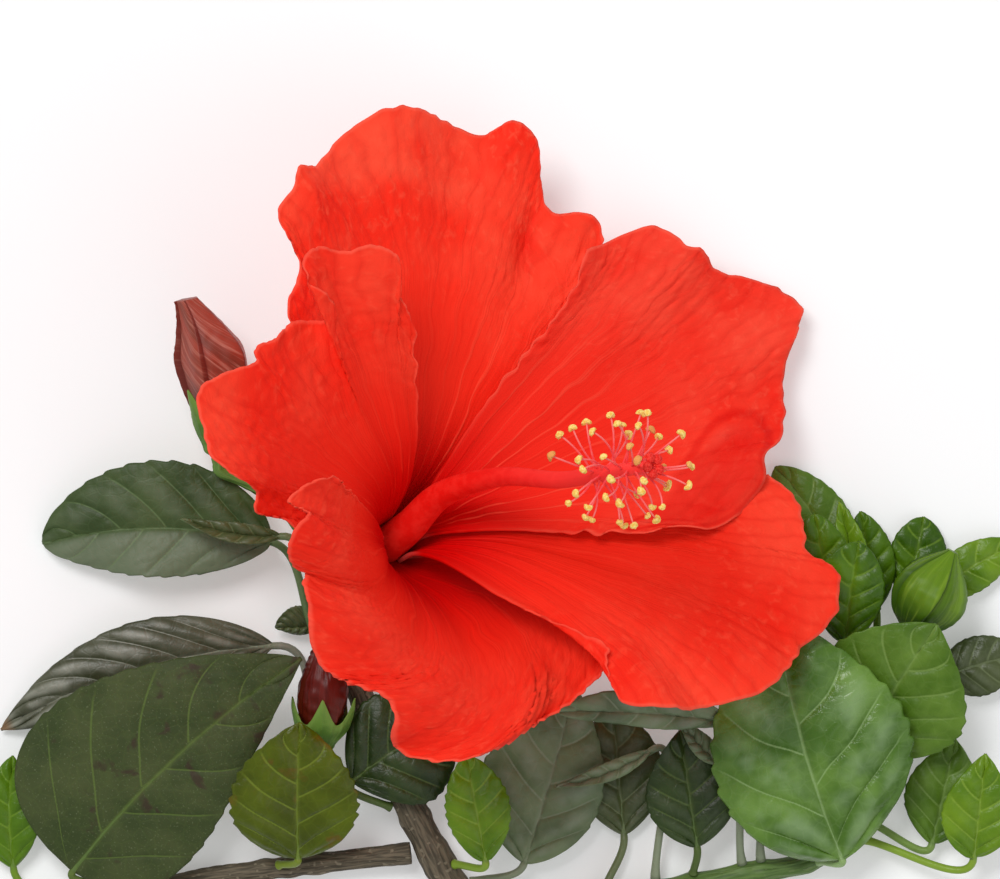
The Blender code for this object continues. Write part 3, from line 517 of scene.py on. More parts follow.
@dataclass(frozen=True)
class PetalFinish(Finish):
    """Satin petal with a dark throat, a fan of forking veins and a light rim, with painted light and shade
    on the rim, troughs and dents.
    """

    throat: Colour = (0.26, 0.0, 0.0)
    deep: Colour = (0.66, 0.001, 0.001)
    full: Colour = (0.88, 0.021, 0.008)
    # Lighter red-orange: light veins, and in the outer half a tint that is partly painted light.
    light: Colour = (1.0, 0.085, 0.040)
    # Lighter edge red: painted highlight on dent tops, and along the rim its own tint with painted
    # highlight.
    edge: Colour = (1.0, 0.16, 0.10)
    claw: Colour = (0.85, 0.15, 0.12)
    # Distances from the claw and from the edge, and heights of dents, in millimetres.
    deep_from: Span = (1.5, 6.0)
    full_from: Span = (11.0, 34.0)
    lines_from: Span = (6.0, 16.0)
    rim_from: Span = (16.0, 44.0)
    rim: Span = (0.8, 0.1)
    claw_to: Span = (10.0, 4.0)
    claw_rim: Span = (0.7, 0.2)
    # Heights of dents that take painted shade in hollows and round the foot of steep ones, and a painted
    # highlight on their tops.
    hollow_from: Span = (0.4, 2.2)
    dent_foot: tuple[Span, Span] = ((0.05, 0.4), (1.1, 0.6))
    dent_top: Span = (0.9, 1.6)
    # Shares of the petal's length.
    outer_from: Span = (0.45, 0.90)
    main_to: Span = (1.0, 0.55)
    lines_to: Span = (0.95, 0.40)
    fibres_to: Span = (1.1, 0.3)
    # Half widths of the veins, in shares of the space between two.
    vein: float = 0.075
    limb: float = 0.045
    trough: float = 0.12
    # How much of each colour is laid on. The lighter tint is partly painted light, set petal by petal; the
    # fibre and trough shares lay on painted shade, the dents painted shade and a painted highlight, and
    # the rim a painted highlight with its own tint.
    tint_and_painted_light: float = 0.5
    lined: float = 0.12
    fibre_tint_and_shade: float = 0.34
    trough_shade: float = 0.20
    dented: float = 0.5
    raised: float = 0.22
    rim_tint_and_highlight: float = 0.38
    clawed: float = 0.6
    # How far the veins sway, and the scale, stretch and height of fibres, crepe and veins.
    sway: float = 0.05
    fibres: float = 95.0
    fibre_stretch: float = 5.0
    crepe_scale: float = 0.85
    crepe_stretch: float = 0.6
    crepe_height: float = 1.7
    vein_height: float = 0.35
    roughness: Span = (0.52, 0.66)
    gloss: float = 0.06

    def mixed(self, recipe: Recipe) -> None:
        """Set the recipe's nodes.

        Args:
            recipe: The material in the making.
        """
        across, along, margin, wide, long, seed, dented, hollow = recipe.marks(
            "across", "along", "margin", "wide", "long", "seed", "dented", "hollow")
        spot = recipe.place(wide, long, seed)
        swayed = across + (recipe.noise(spot, 0.13, 1.0) * self.sway - 0.5 * self.sway)
        threads = recipe.place(swayed * self.fibres, along * self.fibre_stretch, seed)
        fibres = recipe.noise(threads, 1.0, 3.0)
        puffs = recipe.place(wide, long * self.crepe_stretch, seed)
        crepe = recipe.noise(puffs, self.crepe_scale, 4.0, 0.5)
        outer = along.window(*self.outer_from)
        off = (swayed * VEINS.count).off_whole()
        forked = abs(off - along.window(VEINS.fork_from, VEINS.fork_to) * VEINS.fork)
        main = off.window(self.vein, 0.0) * along.window(*self.main_to)
        veins = main.most(forked.window(self.limb, 0.0) * 0.8)

        recipe.colour = self.throat
        recipe.paint(long.window(*self.deep_from), self.deep)
        recipe.paint(long.window(*self.full_from), self.full)
        clouds = recipe.noise(spot, 0.07).window(0.30, 0.75)
        # Lighter tint in cloudy patches and on the raised puffs of the crepe, over the outer half: partly
        # the petal's own tint, partly painted light and painted highlight.
        recipe.paint(clouds * outer * self.tint_and_painted_light, self.light)
        recipe.paint(crepe.window(0.50, 0.78) * outer * (0.9 * self.tint_and_painted_light), self.light)
        # Darker red along the raised fibres: partly their own tone, partly painted shade of their fine
        # wrinkles.
        recipe.paint(fibres.window(0.46, 0.80) * along.window(*self.fibres_to) * self.fibre_tint_and_shade, self.deep)
        # Painted shade along the forked veins of the outer half, which sink there into troughs.
        recipe.paint(forked.window(self.trough, 0.0) * outer * self.trough_shade, self.deep)
        patchy = recipe.noise(recipe.place(swayed * 4.0, along, seed), 1.0, 1.0).window(0.42, 0.60)
        lines = veins * along.window(*self.lines_to) * long.window(*self.lines_from)
        recipe.paint(lines * patchy.between(0.25, 1.25) * self.lined, self.light)
        # Painted shade in the hollows and round the foot of the steep dents.
        rising, falling = self.dent_foot
        foot = dented.window(*rising) * dented.window(*falling)
        recipe.paint(foot.most(hollow.window(*self.hollow_from)) * self.dented, self.deep)
        # Painted highlight on the tops of the steep dents.
        recipe.paint(dented.window(*self.dent_top) * self.raised, self.edge)
        # Lighter rim along the edge: partly its own lighter tint, partly painted highlight.
        recipe.paint(margin.window(*self.rim) * long.window(*self.rim_from) * self.rim_tint_and_highlight, self.edge)
        recipe.paint(margin.window(*self.claw_rim) * long.window(*self.claw_to) * self.clawed, self.claw)
        height = crepe * outer * self.crepe_height + fibres + veins * self.vein_height
        recipe.dress(self.gloss, fibres.between(*self.roughness), height, 0.00022, 0.6)


@dataclass(frozen=True)
class LeafFinish(Finish):
    """Leathery leaf with a network of veins, its tints, what marks it, and painted sheen on its quilts and
    one half.
    """

    dark: Colour
    light: Colour
    vein: Colour
    # Pale grey-green: painted sheen on the quilts and on one half, and speckles.
    streak: Colour = (0.16, 0.20, 0.15)
    back: Colour = (0.085, 0.150, 0.050)
    mark: Colour = (0.10, 0.045, 0.030)
    dried: Colour = (0.20, 0.12, 0.06)
    streaked: float = 0.0
    sheen_half: float = 0.0
    speckled: float = 0.0
    marked: float = 0.0
    dried_tip: float = 0.0
    veined: float = 0.75
    netted: float = 0.06
    # Distances from a side vein, in millimetres.
    side_vein: Span = (0.44, 0.06)
    roughness: Span = (0.34, 0.50)
    gloss: float = 0.45
    depth: float = 0.00022

    def mixed(self, recipe: Recipe) -> None:
        """Set the recipe's nodes.

        Args:
            recipe: The material in the making.
        """
        wide, long, seed, along, phase, spacing, branched, main, quilt, underside = recipe.marks(
            "wide", "long", "seed", "along", "phase", "spacing", "branched", "vein", "quilt", "underside")
        side_veins = (phase.off_whole() * spacing).window(*self.side_vein) * branched
        veins = (side_veins * 0.75).most(main)
        spot = recipe.place(wide, long, seed)
        mottle = recipe.noise(spot, 0.11, 3.0)
        network = recipe.cells(spot, 0.42).window(0.10, 0.0)
        fine = recipe.cells(spot, 1.15).window(0.10, 0.0)

        recipe.colour = self.dark
        recipe.paint(mottle.window(0.30, 0.70), self.light)
        recipe.paint(network * self.netted, self.vein)
        # Painted sheen: pale streaks over the raised quilts between the side veins, broken into patches.
        if self.streaked > 0.0:
            broken = recipe.noise(spot, 0.16).window(0.36, 0.62)
            recipe.paint(quilt.window(0.35, 0.95) * broken * self.streaked, self.streak)
        # Painted sheen: one half of the blade paler.
        if self.sheen_half > 0.0:
            recipe.paint(wide.window(-0.5, 2.0) * self.sheen_half, self.streak)
        if self.speckled > 0.0:
            recipe.paint(recipe.noise(spot, 2.4, 1.0).window(0.62, 0.74) * self.speckled, self.streak)
        if self.marked > 0.0:
            recipe.paint(recipe.noise(spot, 0.17, 3.0, 0.4).window(0.60, 0.70) * self.marked, self.mark)
        recipe.paint(veins * self.veined, self.vein)
        if self.dried_tip > 0.0:
            recipe.paint(along.window(1.0 - self.dried_tip, 1.0 - 0.3 * self.dried_tip), self.dried)
        recipe.paint(underside, recipe.blend(network * 0.4, self.back, self.vein))
        grain = recipe.noise(spot, 1.6) * 0.22
        height = network * -0.16 + fine * -0.08 + grain + mottle * 0.8
        recipe.dress(self.gloss, mottle.between(*self.roughness), height, self.depth, 0.6)


@dataclass(frozen=True)
class BarkFinish(Finish):
    """Bark or green skin of a stem, streaked along it and dotted with pores."""

    dark: Colour = (0.055, 0.045, 0.028)
    light: Colour = (0.16, 0.13, 0.085)
    pore: Colour = (0.26, 0.22, 0.15)
    pores: float = 0.6
    roughness: float = 0.72
    depth: float = 0.00025
    gloss: float = 0.35

    def mixed(self, recipe: Recipe) -> None:
        """Set the recipe's nodes.

        Args:
            recipe: The material in the making.
        """
        around, beside, length = recipe.marks("around", "beside", "length")
        streaks = recipe.noise(recipe.place(around * 5.0, beside * 5.0, length * 0.22), 1.0, 4.0, 0.3)
        spot = recipe.place(around * 3.0, beside * 3.0, length)
        grain = recipe.noise(spot, 1.3, 3.0)
        pores = recipe.noise(spot, 0.9, 0.0).window(0.68, 0.76)
        recipe.colour = self.dark
        recipe.paint(streaks.window(0.35, 0.68), self.light)
        recipe.paint(pores * self.pores, self.pore)
        recipe.dress(self.gloss, self.roughness, streaks + grain * 0.5 + pores * 0.4, self.depth, 0.8)


@dataclass(frozen=True)
class BudFinish(Finish):
    """Furled petals: streaks that wind round the bud, and dark seams between them."""

    dark: Colour = (0.20, 0.040, 0.024)
    body: Colour = (0.34, 0.052, 0.030)
    streak: Colour = (0.56, 0.22, 0.16)
    foot: Colour = (0.13, 0.014, 0.010)
    # How fine the streaks are round the bud and along it.
    streak_turns: tuple[float, float] = (7.0, 3.0)
    streaked: float = 0.8
    roughness: float = 0.42
    gloss: float = 0.20

    def mixed(self, recipe: Recipe) -> None:
        """Set the recipe's nodes.

        Args:
            recipe: The material in the making.
        """
        around, beside, along, seam = recipe.marks("around", "beside", "along", "seam")
        turns, rows = self.streak_turns
        spot = recipe.place(around * turns, beside * turns, along * rows)
        streaks = recipe.noise(spot, 1.0, 4.0, 0.8)
        recipe.colour = self.dark
        recipe.paint(recipe.noise(spot, 0.28).window(0.30, 0.70), self.body)
        recipe.paint(along.window(0.55, 0.15), self.foot)
        recipe.paint(streaks.window(0.48, 0.78) * self.streaked, self.streak)
        recipe.paint(seam, self.foot)
        recipe.dress(self.gloss, self.roughness, streaks, 0.00020, 0.6)


@dataclass(frozen=True)
class SoftFinish(Finish):
    """Small soft part: two tints in a fine grain, and a third towards its tip."""

    first: Colour
    second: Colour
    tip: Colour
    tip_from: float
    scale: float
    roughness: float = 0.45
    depth: float = 0.00005
    gloss: float = 0.22

    def mixed(self, recipe: Recipe) -> None:
        """Set the recipe's nodes.

        Args:
            recipe: The material in the making.
        """
        grain = recipe.noise(recipe.node("TexCoord", {}, "Object"), self.scale, 3.0)
        recipe.colour = self.first
        recipe.paint(grain.window(0.38, 0.62), self.second)
        recipe.paint(recipe.marks("along")[0].window(self.tip_from, 1.0), self.tip)
        recipe.dress(self.gloss, self.roughness, grain, self.depth, 0.8)


@dataclass(frozen=True)
class BloomFrame:
    """Where the bloom stands and which way it faces."""

    throat: Point = (-20.7, -18.9, 20.0)
    tilt: float = math.radians(40.0)
    lean: float = math.radians(33.0)

    def axes(self) -> tuple[Array, Array, Array]:
        """The bloom's own directions.

        Returns:
            Unit vectors across the bloom, across it the other way, and along its axis.
        """
        sin_t, cos_t = math.sin(self.tilt), math.cos(self.tilt)
        sin_l, cos_l = math.sin(self.lean), math.cos(self.lean)
        first = np.array((cos_t * cos_l, cos_t * sin_l, -sin_t))
        second = np.array((-sin_l, cos_l, 0.0))
        return first, second, np.array((sin_t * cos_l, sin_t * sin_l, cos_t))

    def round_axis(self, angle: Array | float) -> Array:
        """Directions square to the bloom's axis at some angles."""
        first, second, _ = self.axes()
        return spoke(angle, first, second)


@dataclass(frozen=True)
class Dent:
    """A bump or hollow of a petal: where it lies, its two widths, height, steepness and start."""

    across: float
    along: float
    width: float
    length: float
    height: float
    edge: float = 2.0
    start: float = -1.0

    def at(self, across: Array, along: Array) -> Array:
        """Its height at some places of the petal."""
        off = np.hypot((across - self.across) / self.width, (along - self.along) / self.length)
        return self.height * np.exp(-(off ** self.edge)) * eased((along - self.start) / self.length)


@dataclass(frozen=True)
class Petal:
    """One ruffled petal, read across its rim from its first side to its second."""

    node: str
    azimuth: Knots
    reach: Knots
    flare: Knots
    curl: Knots
    lift: Knots
    swell: Knots
    waves: float
    phase: float
    seed: int
    dents: tuple[Dent, ...] = ()
    columns: int = 220
    rows: int = 96
    claw_radius: float = 3.6
    claw_spread: float = 0.6
    claw_lean: Knots = (14, 14, 14)
    pinch: Knots = (0, 0, 0)
    swell_skew: float = 0.6
    rim_power: float = 3.0
    # Where each form starts and is whole, in millimetres from the claw.
    lifts: Span = (0.0, 7.0)
    spreads: Span = (0.0, 16.0)
    flares: Span = (0.0, 30.0)
    curls: Span = (35.0, 80.0)
    scallops: Span = (20.0, 38.0)
    hems: Span = (22.0, 48.0)
    # The same, in shares of the way to the rim.
    folds: Span = (0.0, 0.4)
    crepes: Span = (0.45, 0.90)
    veins: Span = (0.05, 0.15)
    main_veins: Span = (0.9, 0.5)
    sinks: Span = (0.35, 0.85)
    # Shares of the half width where the scallops of its sides start and are whole.
    sides: Span = (0.9, 1.0)
    # Heights of its forms in millimetres, with their pitches and powers.
    ruffle: float = 1.3
    ruffle_power: float = 4.0
    ruffle_at_sides: float = 0.45
    frill: float = 0.9
    frill_power: float = 8.0
    frill_pitch: float = 17.0
    hem: float = 0.55
    hem_pitch: float = 5.6
    hem_width: float = 3.2
    hem_gaps: float = 19.0
    fringe: float = 0.26
    fringe_pitch: float = 4.2
    scallop: float = 0.40
    scallop_pitch: float = 4.4
    fold: float = 0.36
    fold_count: float = 5.0
    crepe: float = 0.15
    crepe_pitch: float = 1.9
    vein: float = 0.10
    # How far its veins sway across it, and their half widths in shares of the space between two.
    vein_sway: float = 0.012
    main_width: float = 0.10
    limb_width: float = 0.09
    # Thickness at the claw and at the rim, in millimetres.
    thick: float = 0.75
    thin: float = 0.28

    def lean_at(self, across: Array, length: Array) -> Array:
        """How far the petal leans out from the bloom's axis.

        Args:
            across: Place across the petal, from 0 to 1.
            length: Distance from the claw, in millimetres.

        Returns:
            The lean, in radians.
        """
        claw = through(self.claw_lean, across)
        flared = (through(self.flare, across) - claw) * grown(length, self.flares)
        return np.radians(claw + flared + through(self.curl, across) * grown(length, self.curls))

    def azimuth_at(self, u: Array, v: Array, length: Array) -> Array:
        """Angle about the bloom's axis, in radians.

        Args:
            u: Place across the petal, from -1 to 1.
            v: Share of the way to the rim.
            length: Distance from the claw, in millimetres.

        Returns:
            The angle. The petal is a plain fan near its claw and has its own rim further out.
        """
        across = 0.5 * (u + 1.0)
        middle = 0.5 * (self.azimuth[0] + self.azimuth[-1])
        fan = middle + 0.5 * (self.azimuth[-1] - self.azimuth[0]) * u
        rim = through(self.azimuth, across)
        spread = self.claw_spread + (1.0 - self.claw_spread) * grown(length, self.spreads)
        halfway = v ** self.swell_skew
        bulge = through(self.swell, across) * 4.0 * halfway * (1.0 - halfway)
        bulge = -u * abs(u) * (bulge + through(self.pinch, across) * 6.75 * v * v * (1.0 - v))
        turned = middle + (fan - middle) * spread + (rim - fan) * v ** self.rim_power + bulge
        return np.radians(turned)

    def profile(self, across: Array, length: Array) -> tuple[Array, Array]:
        """Walk up the petal from its claw.

        Args:
            across: Place across the petal, from 0 to 1, for each column.
            length: Distances from the claw, in millimetres, by row and column.

        Returns:
            Distance out from the bloom's axis, and distance along it, after each length of petal.
        """
        steps = np.linspace(0.0, float(length.max()), 2 * int(length.max()))
        stride = steps[1]
        lean = self.lean_at(across, steps[:, None] - 0.5 * stride)
        walked = []
        for start, part in ((self.claw_radius, np.sin(lean)), (0.0, np.cos(lean))):
            reached = start + stride * (np.cumsum(part, axis=0) - part[0])
            columns = [np.interp(length[:, k], steps, reached[:, k]) for k in range(len(across))]
            walked.append(np.stack(columns, axis=1))
        return walked[0], walked[1]

    def relief(self, u: Array, v: Array, wide: Array, length: Array, margin: Array) -> Array:
        """Ruffles, folds, a frilled hem, crepe and veins.

        Args:
            u: Place across the petal, from -1 to 1.
            v: Share of the way to the rim.
            wide: Distance from the petal's middle line, in millimetres.
            length: Distance from the claw, in millimetres.
            margin: Distance from the nearest edge, in millimetres.

        Returns:
            Height above the smooth petal, in millimetres.
        """
        across = 0.5 * (u + 1.0)
        flatter = 1.0 - (1.0 - self.ruffle_at_sides) * u * u
        wave = np.sin(math.tau * self.waves * across + self.phase)
        height = self.ruffle * wave * v ** self.ruffle_power * flatter
        frill = ripples(across * 100.0, 12.0 * v, self.frill_pitch, self.seed + 1)
        height = height + self.frill * frill * v ** self.frill_power
        run = length * np.sign(u) + 40.0 * across
        hem = ripples(run, 0.25 * margin, self.hem_pitch, self.seed + 5) * ridge(margin, self.hem_width)
        hem = hem * eased(0.5 + 0.5 * ripples(run, 0.0, self.hem_gaps, self.seed + 6))
        height = height + self.hem * hem * grown(length, self.hems)
        folds = ripples(across * self.fold_count, 0.30 * v, 1.0, self.seed + 2)
        height = height + self.fold * folds * grown(v, self.folds) * (1.0 - 0.4 * v) * flatter
        crepe = ripples(wide, 0.65 * length, self.crepe_pitch, self.seed + 3, 16)
        height = height + self.crepe * crepe * grown(v, self.crepes)
        fan = (across + self.vein_sway * ripples(across * 20.0, 3.0 * v, 4.0, self.seed + 4)) * VEINS.count
        off = abs(fan - np.round(fan))
        apart = VEINS.fork * grown(v, (VEINS.fork_from, VEINS.fork_to))
        main = ridge(off, self.main_width) * grown(v, self.main_veins)
        veins = np.maximum(main, ridge(off - apart, self.limb_width)) * grown(v, self.veins)
        return height + self.vein * veins * (1.0 - 1.6 * grown(v, self.sinks))

    def build(self, bloom: BloomFrame, finish: PetalFinish) -> None:
        """Shape the petal and dress it.

        Args:
            bloom: The frame of its bloom.
            finish: What it is dressed in.
        """
        u = np.linspace(-1.0, 1.0, self.columns)
        v = column(self.rows)
        across = 0.5 * (u + 1.0)
        reach = through(self.reach, across)
        rim = reach * np.radians(through(self.azimuth, across))
        reach = reach + self.fringe * ripples(rim, 0.0, self.fringe_pitch, self.seed)
        length = v * reach
        out, rise = self.profile(across, length)
        azimuth = self.azimuth_at(u, v, length)
        scallops = ripples(length + 40.0 * across, 0.0, self.scallop_pitch, self.seed + 7)
        scallops = self.scallop * scallops * grown(abs(u), self.sides) * grown(length, self.scallops)
        azimuth = azimuth + np.sign(u) * scallops / out
        half_width = 0.5 * abs(azimuth[:, -1:] - azimuth[:, :1]) * out
        margin = np.minimum(reach - length, (1.0 - abs(u)) * half_width)
        wide = u * half_width
        bumps = [dent.at(across, v) for dent in self.dents]
        height = through(self.lift, across) * grown(length, self.lifts) + sum(bumps)
        height = height + self.relief(u, v, wide, length, margin)
        lean = self.lean_at(across, length)[..., None]
        radial, axis = bloom.round_axis(azimuth), bloom.axes()[2]
        places = np.array(bloom.throat) + radial * out[..., None] + axis * rise[..., None]
        places = places + (axis * np.sin(lean) - radial * np.cos(lean)) * height[..., None]
        marks = {
            "across": across, "along": v, "margin": margin, "wide": wide, "long": length,
            "seed": 10.0 * self.seed,
            # Heights of the steep dents and depths of the hollows, where the finish lays painted shade and
            # a painted highlight.
            "dented": sum(bump for bump, dent in zip(bumps, self.dents) if dent.edge > 2.0),
            "hollow": sum(np.maximum(-bump, 0.0) for bump in bumps),
        }
        thickness = self.thin + (self.thick - self.thin) * (1.0 - eased(v))
        sheet(places, thickness, marks).placed(self.node, finish)


PETALS = (
    Petal("petal_top",
          azimuth=(110, 106.5, 101, 97, 96.5, 95.5, 91.5, 89.5, 85, 80, 73, 67.5, 62, 56.5, 50.5, 47,
                   43, 41, 39, 36, 29.5, 25.5, 24.5, 19),
          reach=(55, 57.5, 58, 60.5, 66, 70, 72, 75, 73.5, 75, 78.5, 80.5, 80, 78.5, 77.5, 81, 79,
                 75, 71, 68, 71, 68.5, 64, 61.5),
          flare=(66, 68, 66), curl=(6, 10, 4), lift=(-1.5, -1.2, -1.5), swell=(0, 0, 0),
          fringe=0.14, claw_spread=0.62, waves=4.5, phase=0.4, seed=11,
          dents=(Dent(0.80, 0.86, 0.05, 0.10, -1.6), Dent(0.86, 0.97, 0.03, 0.07, 1.8),
                 Dent(0.66, 0.96, 0.03, 0.08, 1.4), Dent(0.30, 0.94, 0.025, 0.06, 1.4))),
    Petal("petal_right",
          azimuth=(28.5, 25, 22.5, 19.5, 14, 11, 7.5, 4, 0.5, -4, -8, -12, -16.5, -21.5, -24.5, -29,
                   -34, -39, -40, -42),
          reach=(64.5, 68, 72.5, 76.5, 77.5, 79.5, 80, 84, 88, 88.5, 83.5, 80, 77.5, 74.5, 70, 69,
                 65, 58, 53, 48.5),
          flare=(66, 66, 62), curl=(6, 8, 2), lift=(1.3, 0.8, 1.5), swell=(12, 0, 4),
          pinch=(-9, 0, 0), claw_spread=0.62, waves=4.0, phase=2.0, seed=21,
          dents=(Dent(0.79, 0.86, 0.17, 0.135, 3.4, 7.0, 0.70),
                 Dent(0.79, 0.87, 0.15, 0.115, -3.0, 4.0, 0.62))),
    Petal("petal_low",
          azimuth=(-28, -32, -36.5, -41, -43, -46.5, -51, -56, -61, -67.5, -72.5, -77, -83, -88,
                   -90.5, -88, -84),
          reach=(70.5, 75, 76, 77, 81.5, 83, 82.5, 78.5, 77, 74.5, 71, 67, 64.5, 61, 56.5, 51, 48),
          flare=(62, 66, 64), curl=(6, 10, 12), lift=(-1.5, 0.0, 1.3), swell=(0, 0, 31),
          pinch=(0, 0, -12), claw_spread=1.0, waves=4.0, phase=0.9, seed=31),
    Petal("petal_front",
          azimuth=(-68, -79, -91.5, -107.5, -121.5, -132.5, -142, -148, -152, -159, -166, -172.5,
                   -178.5, -183, -185, -189, -193, -195.5, -198.5, -202, -203.5),
          reach=(45.5, 45, 45.5, 48, 53, 58, 59.5, 58.5, 55, 56, 58, 58, 57, 56, 54, 59.5, 61, 59,
                 63, 58, 50.5),
          claw_lean=(40, 40, 38), flare=(62, 56, 44), curl=(44, 76, 20), lift=(-1.7, 0.0, 2.8),
          swell=(44, 0, 0), claw_spread=0.8, waves=5.0, phase=1.3, seed=41),
    Petal("petal_left",
          azimuth=(166.5, 160, 158, 154, 152, 148.5, 143, 137.5, 133.5, 127.5, 125, 119.5, 111.5, 106,
                   104, 107, 104.5, 100, 95.5, 89, 85.5, 88, 85.5, 83.5),
          reach=(43.5, 47, 54.5, 55, 61.5, 66.5, 67, 69, 66.5, 60.5, 61.5, 58.5, 56, 52.5, 55, 61.5,
                 65.5, 65.5, 62.5, 61.5, 58, 54.5, 50, 47),
          flare=(68, 62, 50), curl=(14, 20, 10), lift=(-2.4, 0.0, 1.5), swell=(0, 0, 3),
          claw_spread=0.66, waves=4.5, phase=2.6, seed=51,
          dents=(Dent(0.76, 0.85, 0.03, 0.2, -1.2), Dent(0.70, 0.97, 0.03, 0.06, 1.2),
                 Dent(0.88, 0.95, 0.04, 0.08, 1.3))),
)


def neighbours(share: float) -> Knots:
    """A share of a curve, between one just before it and one just after it."""
    return max(share - NEARBY, 0.0), share, min(share + NEARBY, 1.0)


def ball(rings: int, sides: int) -> tuple[Array, Array, Array]:
    """A round ball of radius 1.

    Args:
        rings: How many rings of points it has, between its poles.
        sides: How many points go round each ring.

    Returns:
        How far each point is along the first direction, towards the pole, and along the third.
    """
    polar = np.linspace(0.0, math.pi, rings + 2)[1:-1, None]
    turn = ring(sides)
    return np.sin(polar) * np.cos(turn), np.cos(polar) + 0.0 * turn, np.sin(polar) * np.sin(turn)


@dataclass(frozen=True)
class StamenColumn:
    """The column in the throat, with stamens near its tip and five stigma pads on it."""

    node: str = "stamen_column"
    path: tuple[Point, ...] = (
        (-23.7, -20.8, 15.8), (-20.7, -18.9, 20.0), (-16.2, -15.4, 26.2), (-10.2, -9.6, 34.0),
        (0.0, -6.5, 46.0), (10.5, -7.0, 58.0), (18.0, -5.8, 67.0), (25.4, -4.6, 75.2),
    )
    radii: Knots = (3.5, 3.5, 3.0, 2.4, 1.75, 1.5, 1.35, 1.05)
    rings: int = 120
    sides: int = 28
    groove: float = 0.05
    stamens: int = 46
    stamen_from: float = 0.82
    stamen_to: float = 0.985
    filament_length: float = 8.4
    filament_radii: Span = (0.21, 0.15)
    filament_bow: float = 0.9
    filament_steps: int = 10
    filament_sides: int = 7
    # How far the first filaments lean out from the column, and how much less the last, in degrees.
    filament_lean: float = 102.0
    filament_rise: float = 58.0
    anther_radii: Point = (0.66, 0.86, 0.54)
    anther_notch: float = 0.35
    anther_bow: float = 0.35
    anther_grain: float = 0.10
    golden_angle: float = math.radians(137.5)
    stigma_pads: int = 5
    stigma_turn: float = 0.3
    stigma_ring: float = 1.5
    stigma_radius: float = 0.95
    stigma_height: float = 0.62
    stigma_grain: float = 0.09
    style_length: float = 2.2
    style_radii: Span = (0.45, 0.36)
    style_steps: int = 9
    style_sides: int = 8

    def frame(self, t: float) -> tuple[Array, float, Array, Array, Array]:
        """Where the column is at some share of its length.

        Args:
            t: The share, from foot to tip.

        Returns:
            Its middle, its radius, and the directions along, across and above it.
        """
        behind, point, before = through(self.path, neighbours(t))
        ahead = unit(before - behind)
        across = unit(np.cross(ahead, UP))
        return point, float(through(self.radii, t)), ahead, across, np.cross(across, ahead)

    def shaft(self) -> Shell:
        """The column itself, finely grooved along its length."""
        shares = np.linspace(0.0, 1.0, self.rings)
        return rod(through(self.path, shares), through(self.radii, shares), self.sides, self.grooves)

    def grooves(self, turn: Array, length: Array) -> Array:
        """Height of the fine grooves along the column."""
        return self.groove * np.sin(5.0 * turn + 0.05 * length) * np.cos(10.0 * turn)

    def thread(self, index: int) -> Array:
        """One stamen's filament.

        Args:
            index: Which stamen, from the lowest.

        Returns:
            Points of its axis, from the column out to its anther.
        """
        dice = np.random.default_rng(200 + index)
        share = index / (self.stamens - 1)
        t = self.stamen_from + (self.stamen_to - self.stamen_from) * share
        root, radius, ahead, across, above = self.frame(t)
        out = spoke(index * self.golden_angle + dice.uniform(-0.25, 0.25), across, above)
        lean = math.radians(self.filament_lean - self.filament_rise * share + dice.uniform(-12.0, 12.0))
        length = self.filament_length * dice.uniform(0.74, 1.12) * (1.0 - 0.04 * share)
        start = root + 0.6 * radius * out
        end = root + (radius + length * math.sin(lean)) * out + length * math.cos(lean) * ahead
        bow = unit(np.cross(out, ahead)) * self.filament_bow * dice.uniform(-1.0, 1.0)
        bow = bow + ahead * self.filament_bow * dice.uniform(0.2, 1.0)
        share = column(self.filament_steps)
        return start + (end - start) * share + bow * 4.0 * share * (1.0 - share)

    def anther(self, path: Array, index: int) -> Shell:
        """One kidney-shaped anther, grainy with pollen, on the end of its filament.

        Args:
            path: Points of the filament.
            index: Which stamen, from the lowest.

        Returns:
            The anther.
        """
        dice = np.random.default_rng(300 + index)
        ahead = unit(path[-1] - path[-3])
        across = unit(np.cross(ahead, unit(dice.normal(size=3))))
        above = np.cross(across, ahead)
        x, y, z = ball(11, 18)
        grains = ripples(7.0 * x + 3.0 * z, 7.0 * y - 3.0 * z, 1.6, 400 + index, 12)
        notch = self.anther_notch * ridge(y, 0.35) * np.maximum(-z, 0.0)
        swell = 1.0 + self.anther_grain * grains - notch
        size = np.array(self.anther_radii) * dice.uniform(0.85, 1.15)
        x, y, z = x * swell * size[0], y * swell * size[1], z * swell * size[2]
        z = z - self.anther_bow * (y * y)
        offsets = x[..., None] * across + y[..., None] * above + z[..., None] * ahead
        return tube(path[-1] + 0.25 * ahead + offsets, {"along": dice.uniform(0.0, 1.0)})

    def pads(self) -> tuple[Shell, Shell]:
        """The ends of the column.

        Returns:
            The five styles that it parts into, and their velvety pads.
        """
        tip, _, ahead, across, above = self.frame(1.0)
        share = column(self.style_steps)
        radii = np.linspace(*self.style_radii, self.style_steps)
        x, y, z = ball(13, 22)
        styles, pads = [], []
        for number in range(self.stigma_pads):
            out = spoke(math.tau * number / self.stigma_pads + self.stigma_turn, across, above)
            path = tip - 0.4 * ahead + out * self.stigma_ring * share ** 1.6
            path = path + ahead * self.style_length * share ** 0.8
            styles.append(rod(path, radii, self.style_sides))
            velvet = 1.0 + self.stigma_grain * ripples(9.0 * x, 9.0 * y, 1.2, 500 + number, 12)
            size = (self.stigma_radius * velvet)[..., None]
            offsets = x[..., None] * across + z[..., None] * above
            rings = path[-1] + size * (offsets - self.stigma_height * y[..., None] * ahead)
            pads.append(tube(rings[::-1], {"along": 0.0}))
        return Shell.joined(styles), Shell.joined(pads)

